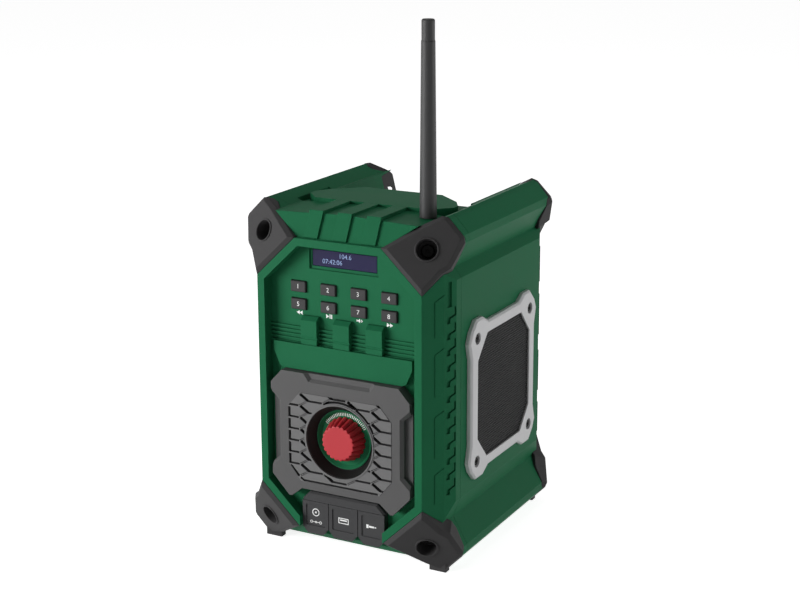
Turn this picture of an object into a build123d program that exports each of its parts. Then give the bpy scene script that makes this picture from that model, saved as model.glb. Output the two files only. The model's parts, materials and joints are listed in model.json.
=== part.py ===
"""Jobsite radio: green two-part housing, rubber corner bumpers, side speakers, whip antenna.

Units are millimetres. +Z is up, the front faces -Y, and the origin lies on the ground under
the middle of the radio. Depths called "set back" are measured from the plane of the front frame.
"""
import os

from build123d import *

os.makedirs("parts", exist_ok=True)

# ---------------------------------------------------------------- overall sizes
body_depth = 208.0                # front frame plane to rear frame plane
body_height = 275.0               # ground to the ridge of the rails, also the mirror height
frame_half_width = 70.0           # eight-sided front frame
frame_top = 252.0
frame_top_half = 36.6
frame_shoulder = 220.0            # where the upright sides of the frame end
frame_foot = 55.0                 # where they begin
frame_band = 6.0                  # width of the raised band round the front
panel_back = 9.7                  # the control panel is set back this far
panel_wall = 3.5

side_face = 84.0                  # half width over the speaker panels
side_set_back = 28.4              # the slanted corners end this far behind the front
rail_face = 90.0                  # half width over the four rails
parting = 35.8                    # front and rear housing meet here
seam = 0.3                        # visible joint between the two housings
deck_height = 270.0               # middle of the deck
deck_edge = 62.0                  # half width of the deck
deck_fall = 2.0                   # the deck slopes down to its edges
belly_height = 11.0
rail_high = 261.4                 # the upright face of the upper rails
rail_low = 255.4
ridge_half_width = 77.0           # ridge along the top of the rails
groove_top = 235.3                # bottom of the V groove under the upper rails
groove_low = 40.0
groove_half_width = 78.2
shell_wall = 4.0

half_depth = body_depth / 2
cut_past = 10.0                   # open cuts run this far past the surface they open
board_thickness = 1.6             # every circuit board
fit = 0.2                         # clearance of seated trim, per side
screw_fit = 0.1                   # clearance of a screw shank, per side
slide_fit = 0.3                   # clearance of moving pieces, per side
turn_fit = 0.08                   # clearance of a shaft in its bore, per side


def depth(set_back):
    """Y of a plane that is set back from the front frame."""
    return set_back - half_depth


def front_plane(set_back):
    """Sketch plane facing the front: sketch X is X, sketch Y is Z, extrude(-t) goes inwards."""
    return Plane.XZ.offset(-depth(set_back))


def save(piece, node_name):
    """Label a finished piece and write it."""
    piece.part.label = node_name
    export_step(piece.part, f"parts/{node_name}.step")


def mirrored_outline(points):
    """Closed outline from the right half, whose first and last points lie on the centre line."""
    left = [(-x, z) for x, z in reversed(points) if x > 0]
    return points + left


def octagon(half_top, half_width, top, shoulder, foot, bottom):
    """Eight-sided outline with upright sides, level top and bottom and slanted corners."""
    return [
        (half_top, top), (half_width, shoulder), (half_width, foot), (half_top, bottom),
        (-half_top, bottom), (-half_width, foot), (-half_width, shoulder), (-half_top, top),
    ]


frame_bottom = body_height - frame_top
frame_outline = octagon(frame_top_half, frame_half_width, frame_top, frame_shoulder,
                        frame_foot, frame_bottom)


def frame_prism(grow):
    """Prism of the front frame's outline, through the bumpers, grown or shrunk all round."""
    with BuildPart() as prism:
        with BuildSketch(front_plane(-cut_past)):
            with BuildLine():
                Polyline(*frame_outline, close=True)
            make_face()
            if grow:
                offset(amount=grow, kind=Kind.INTERSECTION)
        extrude(amount=-2 * parting)
    return prism.part


# ---------------------------------------------------------------- corner bumpers
# The outline of one bumper (right, front, top) where it meets the housing.
bumper_stand = 1.5                # the bumpers stand this far proud of the rails
bumper_outline = [
    (frame_top_half, 0.0, frame_top),                         # inner tip on the front frame
    (frame_half_width, 0.0, frame_shoulder),                  # lower tip on the front frame
    (frame_half_width + 8.4, 17.0, groove_top - 2.3),         # slanted corner
    (side_face - 2.0, 25.5, groove_top - 0.3),                # groove under the rail
    (rail_face + bumper_stand, 27.0, rail_low + 0.6),         # outer edge of the rail
    (rail_face + bumper_stand, 25.0, rail_high),
    (ridge_half_width + 1.5, 26.0, body_height - 1.0),        # ridge of the rail
    (ridge_half_width - 3.0, 25.0, body_height - 0.3),
    (deck_edge - 0.4, 22.0, deck_height - 2.5),               # edge of the deck
]
bumper_facing = Vector(0.343, -0.868, 0.359)      # outward direction of the bumper's face
bumper_centre = Vector(69.2, depth(9.6), 252.5)   # centre of the screw hole in that face
bumper_thickness = 16.5
bumper_bevel = 3.0
bumper_hole_radius = 7.75
bumper_hole_depth = 11.0
bumper_lip = 1.1
bumper_shank_radius = 2.3
bumper_wing_gap = 60.0            # the two upper rear bumpers end at the battery bay
bumper_port_gap = 36.5            # the four lower bumpers end beside the socket covers
bumper_back = 30.0                # no bumper reaches further in from the front or rear
bumper_hole_rise = 0.8            # raised lip round the screw hole
foot_size = (14.0, 6.0)           # flat feet under the four lower bumpers
foot_place = 73.0                 # distance of the feet from the centre line
foot_set_back = 23.0
foot_height = 8.0


def corner_plane(lift=0.0):
    """Plane of the bumper's face at the right front top corner, moved outwards by lift."""
    return Plane(origin=bumper_centre, x_dir=(0, 1, 2.4178), z_dir=bumper_facing).offset(lift)


def bumper_face_points():
    """Bumper outline, flattened onto the plane of its face."""
    plane = corner_plane()
    local = [plane.to_local_coords(Vector(x, depth(y), z)) for x, y, z in bumper_outline]
    return [(point.X, point.Y) for point in local]


with BuildPart() as bumper:
    with BuildSketch(corner_plane()):
        with BuildLine():
            Polyline(*bumper_face_points(), close=True)
        make_face()
    extrude(amount=-bumper_thickness)
    face_edges = faces().filter_by(lambda f: f.normal_at().dot(bumper_facing) > 0.9).edges()
    chamfer(face_edges, length=bumper_bevel)
    with BuildSketch(corner_plane(-bumper_hole_rise)):
        Circle(bumper_hole_radius + bumper_lip)
    extrude(amount=2 * bumper_hole_rise)
    with BuildSketch(corner_plane(bumper_hole_rise)):
        Circle(bumper_hole_radius)
    extrude(amount=-bumper_hole_depth - bumper_hole_rise, mode=Mode.SUBTRACT)
    with BuildSketch(corner_plane()):
        Circle(bumper_shank_radius)
    extrude(amount=-bumper_thickness - cut_past, mode=Mode.SUBTRACT)
    add(frame_prism(fit), mode=Mode.SUBTRACT)
    split(bisect_by=Plane.XZ.offset(-depth(bumper_back)), keep=Keep.TOP)

pocket_reach = 60.0               # the pocket runs this far out, past the rails

with BuildPart() as bumper_pocket:
    with BuildSketch(corner_plane(pocket_reach)):
        with BuildLine():
            Polyline(*bumper_face_points(), close=True)
        make_face()
        offset(amount=fit, kind=Kind.INTERSECTION)
    extrude(amount=-bumper_thickness - pocket_reach)
    add(frame_prism(0), mode=Mode.SUBTRACT)
    split(bisect_by=Plane.XZ.offset(-depth(bumper_back + fit)), keep=Keep.TOP)

screw_head_radius = 5.0
screw_head_height = 3.4
screw_shank_radius = 2.1
screw_length = 15.0
screw_head_bevel = 0.8
drive_radius = 1.7
drive_depth = 1.8


def bumper_screw_at(plane):
    """Pan head screw whose head rests on the given plane."""
    with BuildPart() as screw:
        with BuildSketch(plane):
            Circle(screw_head_radius)
        extrude(amount=screw_head_height)
        head_top = faces().sort_by(Axis(plane.origin, plane.z_dir))[-1]
        chamfer(head_top.edges(), length=screw_head_bevel)
        with BuildSketch(plane):
            Circle(screw_shank_radius)
        extrude(amount=-screw_length)
        with BuildSketch(plane.offset(screw_head_height)):
            RegularPolygon(drive_radius, 6)
        extrude(amount=-drive_depth, mode=Mode.SUBTRACT)
    return screw.part


def at_corner(shape, side, face, level):
    """Copy a shape from the right front top corner to another corner."""
    placed = shape
    if side < 0:
        placed = placed.mirror(Plane.YZ)
    if face < 0:
        placed = placed.mirror(Plane.XZ)
    if level < 0:
        placed = placed.mirror(Plane.XY.offset(body_height / 2))
    return placed


corners = {
    f"bumper_{side_name}_{face_name}_{level_name}": (side, face, level)
    for side_name, side in (("left", -1), ("right", 1))
    for face_name, face in (("front", 1), ("rear", -1))
    for level_name, level in (("upper", 1), ("lower", -1))
}


def outer_part(corner, half_width):
    """Keep what lies further out than half_width on the side of the given corner."""
    split(bisect_by=Plane.YZ.offset(corner[0] * half_width),
          keep=Keep.TOP if corner[0] > 0 else Keep.BOTTOM)


for node, corner in corners.items():
    with BuildPart() as corner_bumper:
        add(at_corner(bumper.part, *corner))
        if corner[2] < 0:
            split(bisect_by=Plane.XY, keep=Keep.TOP)
            outer_part(corner, bumper_port_gap)
            with BuildSketch(Plane.XY):
                with Locations((corner[0] * foot_place, corner[1] * depth(foot_set_back))):
                    Rectangle(*foot_size)
            extrude(amount=foot_height)
        elif corner[1] < 0:
            outer_part(corner, bumper_wing_gap)
    save(corner_bumper, node)

with BuildPart() as bumper_screws:
    one_screw = bumper_screw_at(corner_plane(-bumper_hole_depth))
    for corner in corners.values():
        add(at_corner(one_screw, *corner))
save(bumper_screws, "bumper_screws")

# ---------------------------------------------------------------- housing block
# Right half of the cross section, from the middle of the deck clockwise to the belly.
ridge_fall = 0.7                  # the ridge lies this far under the bumpers
side_top = 227.5                  # the flat side panel between the two grooves
side_low = 55.5
foot_lift = 1.2                   # the lower rails stay this far off the ground
section = [
    (0.0, deck_height), (deck_edge, deck_height - deck_fall),
    (ridge_half_width, body_height - ridge_fall),
    (ridge_half_width + 3.0, body_height - ridge_fall - 1.8),
    (rail_face, rail_high), (rail_face, rail_low), (groove_half_width, groove_top),
    (side_face, side_top), (side_face, side_low), (groove_half_width, groove_low),
    (rail_face, body_height - rail_low - 0.1), (rail_face, body_height - rail_high),
    (ridge_half_width + 3.0, foot_lift + 1.3), (ridge_half_width, foot_lift),
    (deck_edge, belly_height - 2.5), (deck_edge - 2.0, belly_height), (0.0, belly_height),
]
ramp_foot = 4.5                   # the ramp over the front frame starts this far back
ramp_head = 14.0
bay_half_width = 60.0             # open battery bay between the two rear wings
bay_front = 101.0
bay_floor = 160.0
plate_front = 53.0                # raised deck plate of the rear housing
plate_top = 271.7
valley_height = 265.5

ramp_top = [
    (-cut_past, frame_top), (ramp_foot, frame_top), (ramp_head, deck_height),
    (ramp_head, body_height + cut_past), (-cut_past, body_height + cut_past),
]
ramp_low = [
    (-cut_past, frame_bottom), (ramp_foot, frame_bottom), (ramp_head, belly_height),
    (ramp_head, -cut_past), (-cut_past, -cut_past),
]
strip_start = 17.6                # the hooked strip begins this far behind the front frame
strip_bulge = 0.7                 # and stands this far out from the straight slant
slant = (side_face - frame_half_width) / side_set_back
strip_edge = frame_half_width + slant * strip_start + strip_bulge
slanted_corner = [
    (frame_half_width, 0.0), (strip_edge, strip_start), (side_face, side_set_back),
    (side_face + cut_past, side_set_back), (side_face + cut_past, -cut_past),
    (frame_half_width - slant * cut_past, -cut_past),
]


def side_profile(points):
    """(set back, height) outline seen from the side, in front and mirrored at the rear."""
    with BuildSketch(Plane.YZ) as outline:
        for face in (1, -1):
            with BuildLine():
                Polyline(*[(face * depth(y), z) for y, z in points], close=True)
            make_face()
    return outline.sketch


def corner_profile(height, inset=0.0):
    """The four wedges, seen from above, that slant the upright corners."""
    with BuildSketch(Plane.XY.offset(height)) as outline:
        for side in (1, -1):
            for face in (1, -1):
                wedge = [(side * (x - inset), face * depth(y)) for x, y in slanted_corner]
                with BuildLine():
                    Polyline(*wedge, close=True)
                make_face()
    return outline.sketch


with BuildPart() as block:
    with BuildSketch(Plane.XZ):
        with BuildLine():
            Polyline(*mirrored_outline(section), close=True)
        make_face()
    extrude(amount=half_depth, both=True)
    extrude(side_profile(ramp_top), amount=side_face + cut_past, both=True, mode=Mode.SUBTRACT)
    extrude(side_profile(ramp_low), amount=side_face + cut_past, both=True, mode=Mode.SUBTRACT)
    extrude(corner_profile(groove_low), amount=groove_top - groove_low, mode=Mode.SUBTRACT)
    for corner in corners.values():
        pocket = at_corner(bumper_pocket.part, *corner)
        if corner[2] < 0:
            outside = Plane.YZ.offset(corner[0] * (bumper_port_gap - fit))
            pocket = split(pocket, bisect_by=outside, mode=Mode.PRIVATE,
                           keep=Keep.TOP if corner[0] > 0 else Keep.BOTTOM)
        add(pocket, mode=Mode.SUBTRACT)

# ---------------------------------------------------------------- inside of the housing
deck_wall = 8.5                   # the deck carries the antenna
ceiling = deck_height - deck_wall
inner_side = side_face - shell_wall
inner_groove = groove_half_width - shell_wall - 0.2
inner_section = [
    (0.0, ceiling), (deck_edge - 1.0, ceiling), (inner_groove, ceiling - 13.5),
    (inner_groove, groove_top + 1.7), (inner_side, side_top - 4.5),
    (inner_side, side_low + 4.5), (inner_groove, groove_low + 2.0),
    (inner_groove, belly_height + shell_wall + 11.0),
    (deck_edge - 4.0, belly_height + shell_wall), (0.0, belly_height + shell_wall),
]
corner_wall = 11.0                # solid block behind each bumper, which takes its screw
corner_block_inner = 31.0         # the blocks end here, beside the sockets and the display
ramp_wall = (2.0, 4.5)            # wall of the ramp, set back and upright

with BuildPart() as corner_block:
    with BuildSketch(corner_plane(-bumper_thickness - corner_wall)):
        with BuildLine():
            Polyline(*bumper_face_points(), close=True)
        make_face()
        offset(amount=shell_wall, kind=Kind.INTERSECTION)
    extrude(amount=bumper_thickness + corner_wall + cut_past)
    add(frame_prism(-shell_wall), mode=Mode.SUBTRACT)
    split(bisect_by=Plane.YZ.offset(corner_block_inner), keep=Keep.TOP)

with BuildPart() as cavity:
    with BuildSketch(front_plane(panel_back + panel_wall)):
        with BuildLine():
            Polyline(*mirrored_outline(inner_section), close=True)
        make_face()
    extrude(amount=-(body_depth - panel_back - panel_wall - shell_wall))
    for outline, wall in ((ramp_top, -ramp_wall[1]), (ramp_low, ramp_wall[1])):
        over_ramp = [(y + ramp_wall[0], z + wall) for y, z in outline]
        extrude(side_profile(over_ramp), amount=side_face, both=True, mode=Mode.SUBTRACT)
    extrude(corner_profile(0, shell_wall), amount=body_height, mode=Mode.SUBTRACT)
    with BuildSketch(Plane.XY.offset(bay_floor - shell_wall)):
        with Locations((0, depth(bay_front - shell_wall + body_depth / 2))):
            Rectangle(2 * (bay_half_width + shell_wall), body_depth)
    extrude(amount=body_height - bay_floor, mode=Mode.SUBTRACT)
    for corner in corners.values():
        add(at_corner(corner_block.part, *corner), mode=Mode.SUBTRACT)

# ---------------------------------------------------------------- shell of both housings
plate_overhang = 4.0
plate_half_width = 62.5
plate_outline = mirrored_outline([
    (0.0, plate_front + seam), (plate_half_width - 12.5, plate_front + seam),
    (plate_half_width, plate_front + 14.0), (plate_half_width, plate_front + 21.0),
    (plate_half_width - 7.7, bay_front - 14.0),
    (plate_half_width - 28.9, bay_front + plate_overhang), (0.0, bay_front + plate_overhang),
])
plate_root = 2.5                  # the plate reaches this far into the floor of the valley
valley_half_width = 66.0
pad_width = 11.8
pad_pitch = 24.5
pad_root = 7.0                    # the pads reach this far into the deck
pad_outline = [
    (ramp_foot + 0.5, frame_top - 1.0), (ramp_foot - 1.2, frame_top + 0.8),
    (ramp_head - 1.1, plate_top), (plate_front, plate_top),
    (plate_front, deck_height - pad_root), (ramp_head + 2.0, deck_height - pad_root),
]

# Hooked notches and one long slot in the strip beside each slanted corner.
hook_count = 12
hook_pitch = 12.1
hook_start = 207.8
hook_width = 1.5
hook_depth = 1.4
hook_back = 10.6                  # the upright part of a hook, from the edge of the strip
hook_front = 4.1
hook_foot = (3.4, 5.2)
slot_size = (4.0, 19.0)
slot_height = 217.5
strip_plane = Plane(
    origin=(strip_edge, depth(strip_start), 0),
    x_dir=(side_face - strip_edge, side_set_back - strip_start, 0),
    z_dir=(side_set_back - strip_start, strip_edge - side_face, 0),
)

with BuildPart() as hooks:
    with BuildSketch(strip_plane):
        with Locations((hook_front + 1.0, slot_height)):
            Rectangle(*slot_size)
        for index in range(hook_count):
            top = hook_start - index * hook_pitch
            with BuildLine():
                Polyline((hook_back, top), (hook_back, top - 6.0), (hook_front + 2.6, top - 7.4),
                         (hook_front, top - 9.4))
            trace(line_width=hook_width)
            with Locations((hook_front, top - 9.6)):
                Rectangle(*hook_foot)
    extrude(amount=-hook_depth)

# Low pads on the slant beside the strip.
slant_pad_rise = 0.5
slant_pad_width = 8.4
slant_pads = [(216.0, 187.0), (176.0, 142.0), (128.0, 94.0), (83.0, 58.0)]
slant_plane = Plane(
    origin=(frame_half_width, depth(0), 0),
    x_dir=(strip_edge - frame_half_width, strip_start, 0),
    z_dir=(strip_start, frame_half_width - strip_edge, 0),
)
slant_width = (Vector(strip_edge, strip_start) - Vector(frame_half_width, 0)).length

with BuildPart() as slant_pad_row:
    with BuildSketch(slant_plane):
        for pad_top, pad_low in slant_pads:
            with BuildLine():
                Polyline((slant_width, pad_top + 2.0), (slant_width - slant_pad_width, pad_top - 2.0),
                         (slant_width - slant_pad_width, pad_low), (slant_width, pad_low + 1.0),
                         close=True)
            make_face()
    extrude(amount=slant_pad_rise)

with BuildPart() as shell:
    add(block.part)
    with BuildSketch(Plane.XY.offset(valley_height)):
        with Locations((0, depth((plate_front + bay_front) / 2))):
            Rectangle(2 * valley_half_width, bay_front - plate_front)
    extrude(amount=body_height - valley_height, mode=Mode.SUBTRACT)
    with BuildSketch(Plane.XY.offset(bay_floor)):
        with Locations((0, depth(bay_front + body_depth / 2))):
            Rectangle(2 * bay_half_width, body_depth)
    extrude(amount=body_height - bay_floor, mode=Mode.SUBTRACT)
    with BuildSketch(Plane.XY.offset(valley_height - plate_root)):
        with BuildLine():
            Polyline(*[(x, depth(y)) for x, y in plate_outline], close=True)
        make_face()
    extrude(amount=plate_top - valley_height + plate_root)
    with BuildSketch(Plane.YZ) as pad_profile:
        with BuildLine():
            Polyline(*[(depth(y), z) for y, z in pad_outline], close=True)
        make_face()
    for pad_place in (-pad_pitch, 0, pad_pitch):
        moved_profile = pad_profile.sketch.moved(Location((pad_place - pad_width / 2, 0, 0)))
        extrude(moved_profile, amount=pad_width)
    add(cavity.part, mode=Mode.SUBTRACT)
    for side in (1, -1):
        for face in (1, -1):
            add(at_corner(slant_pad_row.part, side, face, 1))
            add(at_corner(hooks.part, side, face, 1), mode=Mode.SUBTRACT)

antenna_place = (54.0, depth(41.5))
stud_radius = 3.0
nut_radius = 5.5
nut_top = ceiling - slide_fit     # just under the ceiling of the housing
nut_well_depth = 25.0

with BuildPart() as nut_well:
    with BuildSketch(Plane.XY.offset(nut_top + slide_fit)):
        with Locations(antenna_place):
            Circle(nut_radius + slide_fit)
    extrude(amount=-nut_well_depth)

tongue_half_width = 60.0          # the deck of the front housing reaches back as a tongue
tongue_floor = deck_height - 15.0

with BuildPart() as deck_tongue:
    add(shell.part)
    add(nut_well.part, mode=Mode.SUBTRACT)
    with BuildSketch(Plane.XY.offset(tongue_floor)):
        with Locations((0, depth((parting + plate_front) / 2))):
            Rectangle(2 * tongue_half_width, plate_front - parting)
    extrude(amount=body_height - tongue_floor, mode=Mode.INTERSECT)

with BuildPart() as tongue_gap:
    with BuildSketch(Plane.XY.offset(tongue_floor - seam)):
        with Locations((0, depth((parting + plate_front) / 2))):
            Rectangle(2 * (tongue_half_width + seam), plate_front - parting + 2 * seam)
    extrude(amount=body_height - tongue_floor)

# ---------------------------------------------------------------- front housing
dial_height = 97.2                # middle of the volume knob
display_opening = (55.4, 13.0)
display_height = 236.0
display_frame = (59.0, 17.5)
display_step = 1.5
button_size = (13.0, 8.5)
button_pitch = 25.9
button_rows = (212.6, 198.9)
rib_count = 5
rib_pitch = 3.1
rib_top = 180.6
rib_size = (2 * frame_half_width - 10, 1.5)
rib_rise = 1.4
tab_pitch = 28.0
tab_size = (13.5, 16.5)
tab_height = 178.5
tab_skirt = (12.0, 8.0)
tab_skirt_height = 169.0
tab_skirt_step = 0.8
name_plate = [
    (0.0, 168.5), (59.5, 168.5), (59.5, 161.0), (54.4, 149.6), (51.0, 148.2), (0.0, 148.2),
]
name_plate_front = 5.0
port_half_width = 36.2            # window of the sockets, open below
port_top = 51.4
port_shoulder = 45.0
port_top_half = 29.6
port_outline = mirrored_outline([
    (0.0, port_top), (port_top_half, port_top), (port_half_width, port_shoulder),
    (port_half_width, -cut_past), (0.0, -cut_past),
])
jack_height = 31.0
dc_place = -24.3
aux_place = 24.3
dc_radius = 5.6
usb_size = (14.4, 7.2)
aux_radius = 4.2
bushing_radius = 3.5
dish_radius = 23.5
dish_floor_radius = 20.6
dish_rise = 2.9
dish_land = 0.5                   # narrow flat rim of the dish
post_radius = 4.5
tube_radius = 5.5                 # tubes of the rear housing that lead to the long screws
post_places = [(-40.0, 50.0), (40.0, 50.0), (-40.0, 148.0), (40.0, 148.0)]
housing_screw_radius = 1.75
housing_head_radius = 4.0
housing_head_height = 3.0
housing_screw_length = 18.0
screw_seat = 5.0                  # wall under the heads of the long screws
board_set_back = 18.0             # button board, behind the control panel
board_height = sum(button_rows) / 2
board_size = (112.0, 30.0)
board_post_radius = 3.0
board_post_places = [(place, board_height) for place in (-2 * button_pitch, 0, 2 * button_pitch)]

with BuildPart() as front_housing:
    add(shell.part)
    split(bisect_by=Plane.XZ.offset(-depth(parting)), keep=Keep.TOP)
    add(deck_tongue.part)
    # Recess of the control panel
    with BuildSketch(front_plane(0)):
        with BuildLine():
            Polyline(*frame_outline, close=True)
        make_face()
        offset(amount=-frame_band, kind=Kind.INTERSECTION)
        with BuildLine():
            Polyline(*port_outline, close=True)
        make_face()
    extrude(amount=-panel_back, mode=Mode.SUBTRACT)
    # Ribs, tabs and the plain raised plate
    with BuildSketch(front_plane(panel_back)):
        for index in range(rib_count):
            with Locations((0, rib_top - index * rib_pitch)):
                Rectangle(*rib_size)
    extrude(amount=rib_rise)
    with BuildSketch(front_plane(panel_back)):
        with BuildLine():
            Polyline(*mirrored_outline(name_plate), close=True)
        make_face()
    extrude(amount=panel_back - name_plate_front)
    with BuildSketch(front_plane(panel_back)):
        for place in (-tab_pitch, 0, tab_pitch):
            with Locations((place, tab_height)):
                Rectangle(*tab_size)
    extrude(amount=panel_back - name_plate_front)
    with BuildSketch(front_plane(panel_back)):
        for place in (-tab_pitch, 0, tab_pitch):
            with Locations((place, tab_skirt_height)):
                Rectangle(*tab_skirt)
    extrude(amount=panel_back - name_plate_front - tab_skirt_step)
    # Display, buttons, dial, sockets
    with BuildSketch(front_plane(panel_back)):
        with Locations((0, display_height)):
            Rectangle(*display_frame)
    extrude(amount=-display_step, mode=Mode.SUBTRACT)
    with BuildSketch(front_plane(panel_back)):
        with Locations((0, display_height)):
            Rectangle(*display_opening)
        for row in button_rows:
            with Locations((0, row)):
                with GridLocations(button_pitch, 1, 4, 1):
                    Rectangle(button_size[0] + 2 * slide_fit, button_size[1] + 2 * slide_fit)
        with Locations((0, dial_height)):
            Circle(bushing_radius + fit / 2)
        with Locations((dc_place, jack_height)):
            Circle(dc_radius + fit)
        with Locations((0, jack_height)):
            Rectangle(usb_size[0] + 2 * fit, usb_size[1] + 2 * fit)
        with Locations((aux_place, jack_height)):
            Circle(aux_radius + fit)
    extrude(amount=-panel_wall - cut_past, mode=Mode.SUBTRACT)
    with BuildSketch(Plane.YZ):
        with BuildLine():
            Polyline(
                (depth(panel_back - dish_rise), dial_height + dish_radius - dish_land),
                (depth(panel_back - dish_rise), dial_height + dish_radius),
                (depth(panel_back + dish_land), dial_height + dish_radius),
                (depth(panel_back + dish_land), dial_height + dish_floor_radius),
                (depth(panel_back), dial_height + dish_floor_radius), close=True,
            )
        make_face()
    revolve(axis=Axis((0, 0, dial_height), (0, 1, 0)))
    # Posts for the button board and the long housing screws, hole for the antenna
    with BuildSketch(front_plane(panel_back + panel_wall)):
        with Locations(*board_post_places):
            Circle(board_post_radius)
    extrude(amount=-(board_set_back - panel_back - panel_wall))
    with BuildSketch(front_plane(panel_back + panel_wall)):
        with Locations(*post_places):
            Circle(post_radius)
    extrude(amount=-(parting - panel_back - panel_wall))
    with BuildSketch(front_plane(parting)):
        with Locations(*post_places):
            Circle(housing_screw_radius + screw_fit)
    extrude(amount=housing_screw_length - screw_seat, mode=Mode.SUBTRACT)
    with BuildSketch(Plane.XY.offset(nut_top)):
        with Locations(antenna_place):
            Circle(stud_radius + screw_fit)
    extrude(amount=body_height - nut_top, mode=Mode.SUBTRACT)
    for corner in corners.values():
        add(at_corner(one_screw, *corner), mode=Mode.SUBTRACT)
save(front_housing, "front_housing")

# ---------------------------------------------------------------- rear housing
speaker_height = 127.5
speaker_opening = 36.0
frame_hole_spacing = (96.0, 97.4)
frame_screw_radius = 1.5
dock_size = (70.0, 96.0)
dock_lift = 2.0                   # the dock ends this far over the floor of the bay
dock_height = bay_floor + dock_lift + dock_size[1] / 2
main_board_size = (110.0, 74.0)
main_board_gap = 19.5             # between the ceiling and the main board
main_board_height = ceiling - main_board_gap - main_board_size[1] / 2
main_board_set_back = 90.0
main_post_radius = 3.0
main_post_inset = 7.0
main_post_spacing = (main_board_size[0] - 2 * main_post_inset,
                     main_board_size[1] - 2 * main_post_inset)
rear_recess = 2.0

with BuildPart() as rear_housing:
    add(shell.part)
    split(bisect_by=Plane.XZ.offset(-depth(parting + seam)), keep=Keep.BOTTOM)
    add(tongue_gap.part, mode=Mode.SUBTRACT)
    add(nut_well.part, mode=Mode.SUBTRACT)
    # Speaker openings with their screw holes
    for side in (1, -1):
        with BuildSketch(Plane.YZ.offset(side * side_face)):
            with Locations((0, speaker_height)):
                Circle(speaker_opening)
                with GridLocations(*frame_hole_spacing, 2, 2):
                    Circle(frame_screw_radius + screw_fit)
        extrude(amount=-side * (shell_wall + cut_past), mode=Mode.SUBTRACT)
    # Shallow recess of the rear wall, long screw posts and their access holes
    with BuildSketch(front_plane(body_depth)):
        with BuildLine():
            Polyline(*octagon(frame_top_half, frame_half_width, bay_floor, bay_floor - 1,
                              frame_foot, frame_bottom), close=True)
        make_face()
        offset(amount=-frame_band, kind=Kind.INTERSECTION)
    extrude(amount=rear_recess, mode=Mode.SUBTRACT)
    with BuildSketch(front_plane(parting + seam)):
        with Locations(*post_places):
            Circle(tube_radius)
    extrude(amount=-(body_depth - parting - seam - rear_recess))
    with BuildSketch(front_plane(body_depth)):
        with Locations(*post_places):
            Circle(housing_head_radius + slide_fit)
    extrude(amount=body_depth - parting - seam - screw_seat, mode=Mode.SUBTRACT)
    with BuildSketch(front_plane(parting)):
        with Locations(*post_places):
            Circle(housing_screw_radius + screw_fit)
    extrude(amount=-seam - screw_seat, mode=Mode.SUBTRACT)
    # Standoffs of the main board behind the bay wall
    with BuildSketch(front_plane(main_board_set_back + board_thickness)):
        with Locations((0, main_board_height)):
            with GridLocations(*main_post_spacing, 2, 2):
                Circle(main_post_radius)
    extrude(amount=-(bay_front - shell_wall - main_board_set_back - board_thickness))
    for corner in corners.values():
        add(at_corner(one_screw, *corner), mode=Mode.SUBTRACT)
save(rear_housing, "rear_housing")

head_seat = parting + seam + screw_seat

with BuildPart() as housing_screws:
    with BuildSketch(front_plane(head_seat)):
        with Locations(*post_places):
            Circle(housing_head_radius)
    extrude(amount=-housing_head_height)
    with BuildSketch(front_plane(head_seat)):
        with Locations(*post_places):
            Circle(housing_screw_radius)
    extrude(amount=housing_screw_length)
    with BuildSketch(front_plane(head_seat + housing_head_height)):
        with Locations(*post_places):
            RegularPolygon(drive_radius, 6)
    extrude(amount=drive_depth, mode=Mode.SUBTRACT)
save(housing_screws, "housing_screws")

# ---------------------------------------------------------------- display and buttons
lcd_size = (display_opening[0] + 6.6, display_opening[1] + 5.0)
lcd_thickness = 5.0
lcd_board_size = (lcd_size[0] + 6.0, lcd_size[1] + 2.0)
window_bevel = 0.3

with BuildPart() as display_window:
    with BuildSketch(front_plane(panel_back + display_step)):
        with Locations((0, display_height)):
            Rectangle(display_opening[0] - 2 * fit, display_opening[1] - 2 * fit)
    extrude(amount=-(panel_wall - display_step))
    chamfer(faces().sort_by(Axis.Y)[0].edges(), length=window_bevel)
save(display_window, "display_window")

with BuildPart() as lcd_module:
    with BuildSketch(front_plane(panel_back + panel_wall)):
        with Locations((0, display_height)):
            RectangleRounded(*lcd_size, 1.0)
    extrude(amount=-lcd_thickness)
    with BuildSketch(front_plane(panel_back + panel_wall + lcd_thickness)):
        with Locations((0, display_height)):
            Rectangle(*lcd_board_size)
    extrude(amount=-board_thickness)
save(lcd_module, "lcd_module")

button_travel = 1.0
button_rise = 2.0
switch_height = 3.6               # actuator above the board
switch_size = (6.0, 6.0)
switch_case = 2.6
plunger_radius = 1.7
switch_gap = 0.2
button_corner = 0.8
button_bevel = 0.5
button_lip = (1.2, 1.0)           # hidden flange that keeps a key in its hole, each side
button_names = [
    "button_source", "button_preset", "button_info", "button_power",
    "button_previous", "button_mute", "button_pair", "button_next",
]
button_places = [
    ((column - 1.5) * button_pitch, row) for row in button_rows for column in range(4)
]
stem_end = board_set_back - switch_height - switch_gap

for node, (x, z) in zip(button_names, button_places):
    with BuildPart() as button:
        with BuildSketch(front_plane(panel_back - button_rise)):
            with Locations((x, z)):
                RectangleRounded(*button_size, button_corner)
        extrude(amount=-(button_rise + panel_wall + slide_fit))
        chamfer(faces().sort_by(Axis.Y)[0].edges(), length=button_bevel)
        with BuildSketch(front_plane(panel_back + panel_wall + slide_fit)):
            with Locations((x, z)):
                Rectangle(button_size[0] + 2 * button_lip[0], button_size[1] + 2 * button_lip[1])
        extrude(amount=-(stem_end - panel_back - panel_wall - slide_fit))
    save(button, node)

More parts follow.
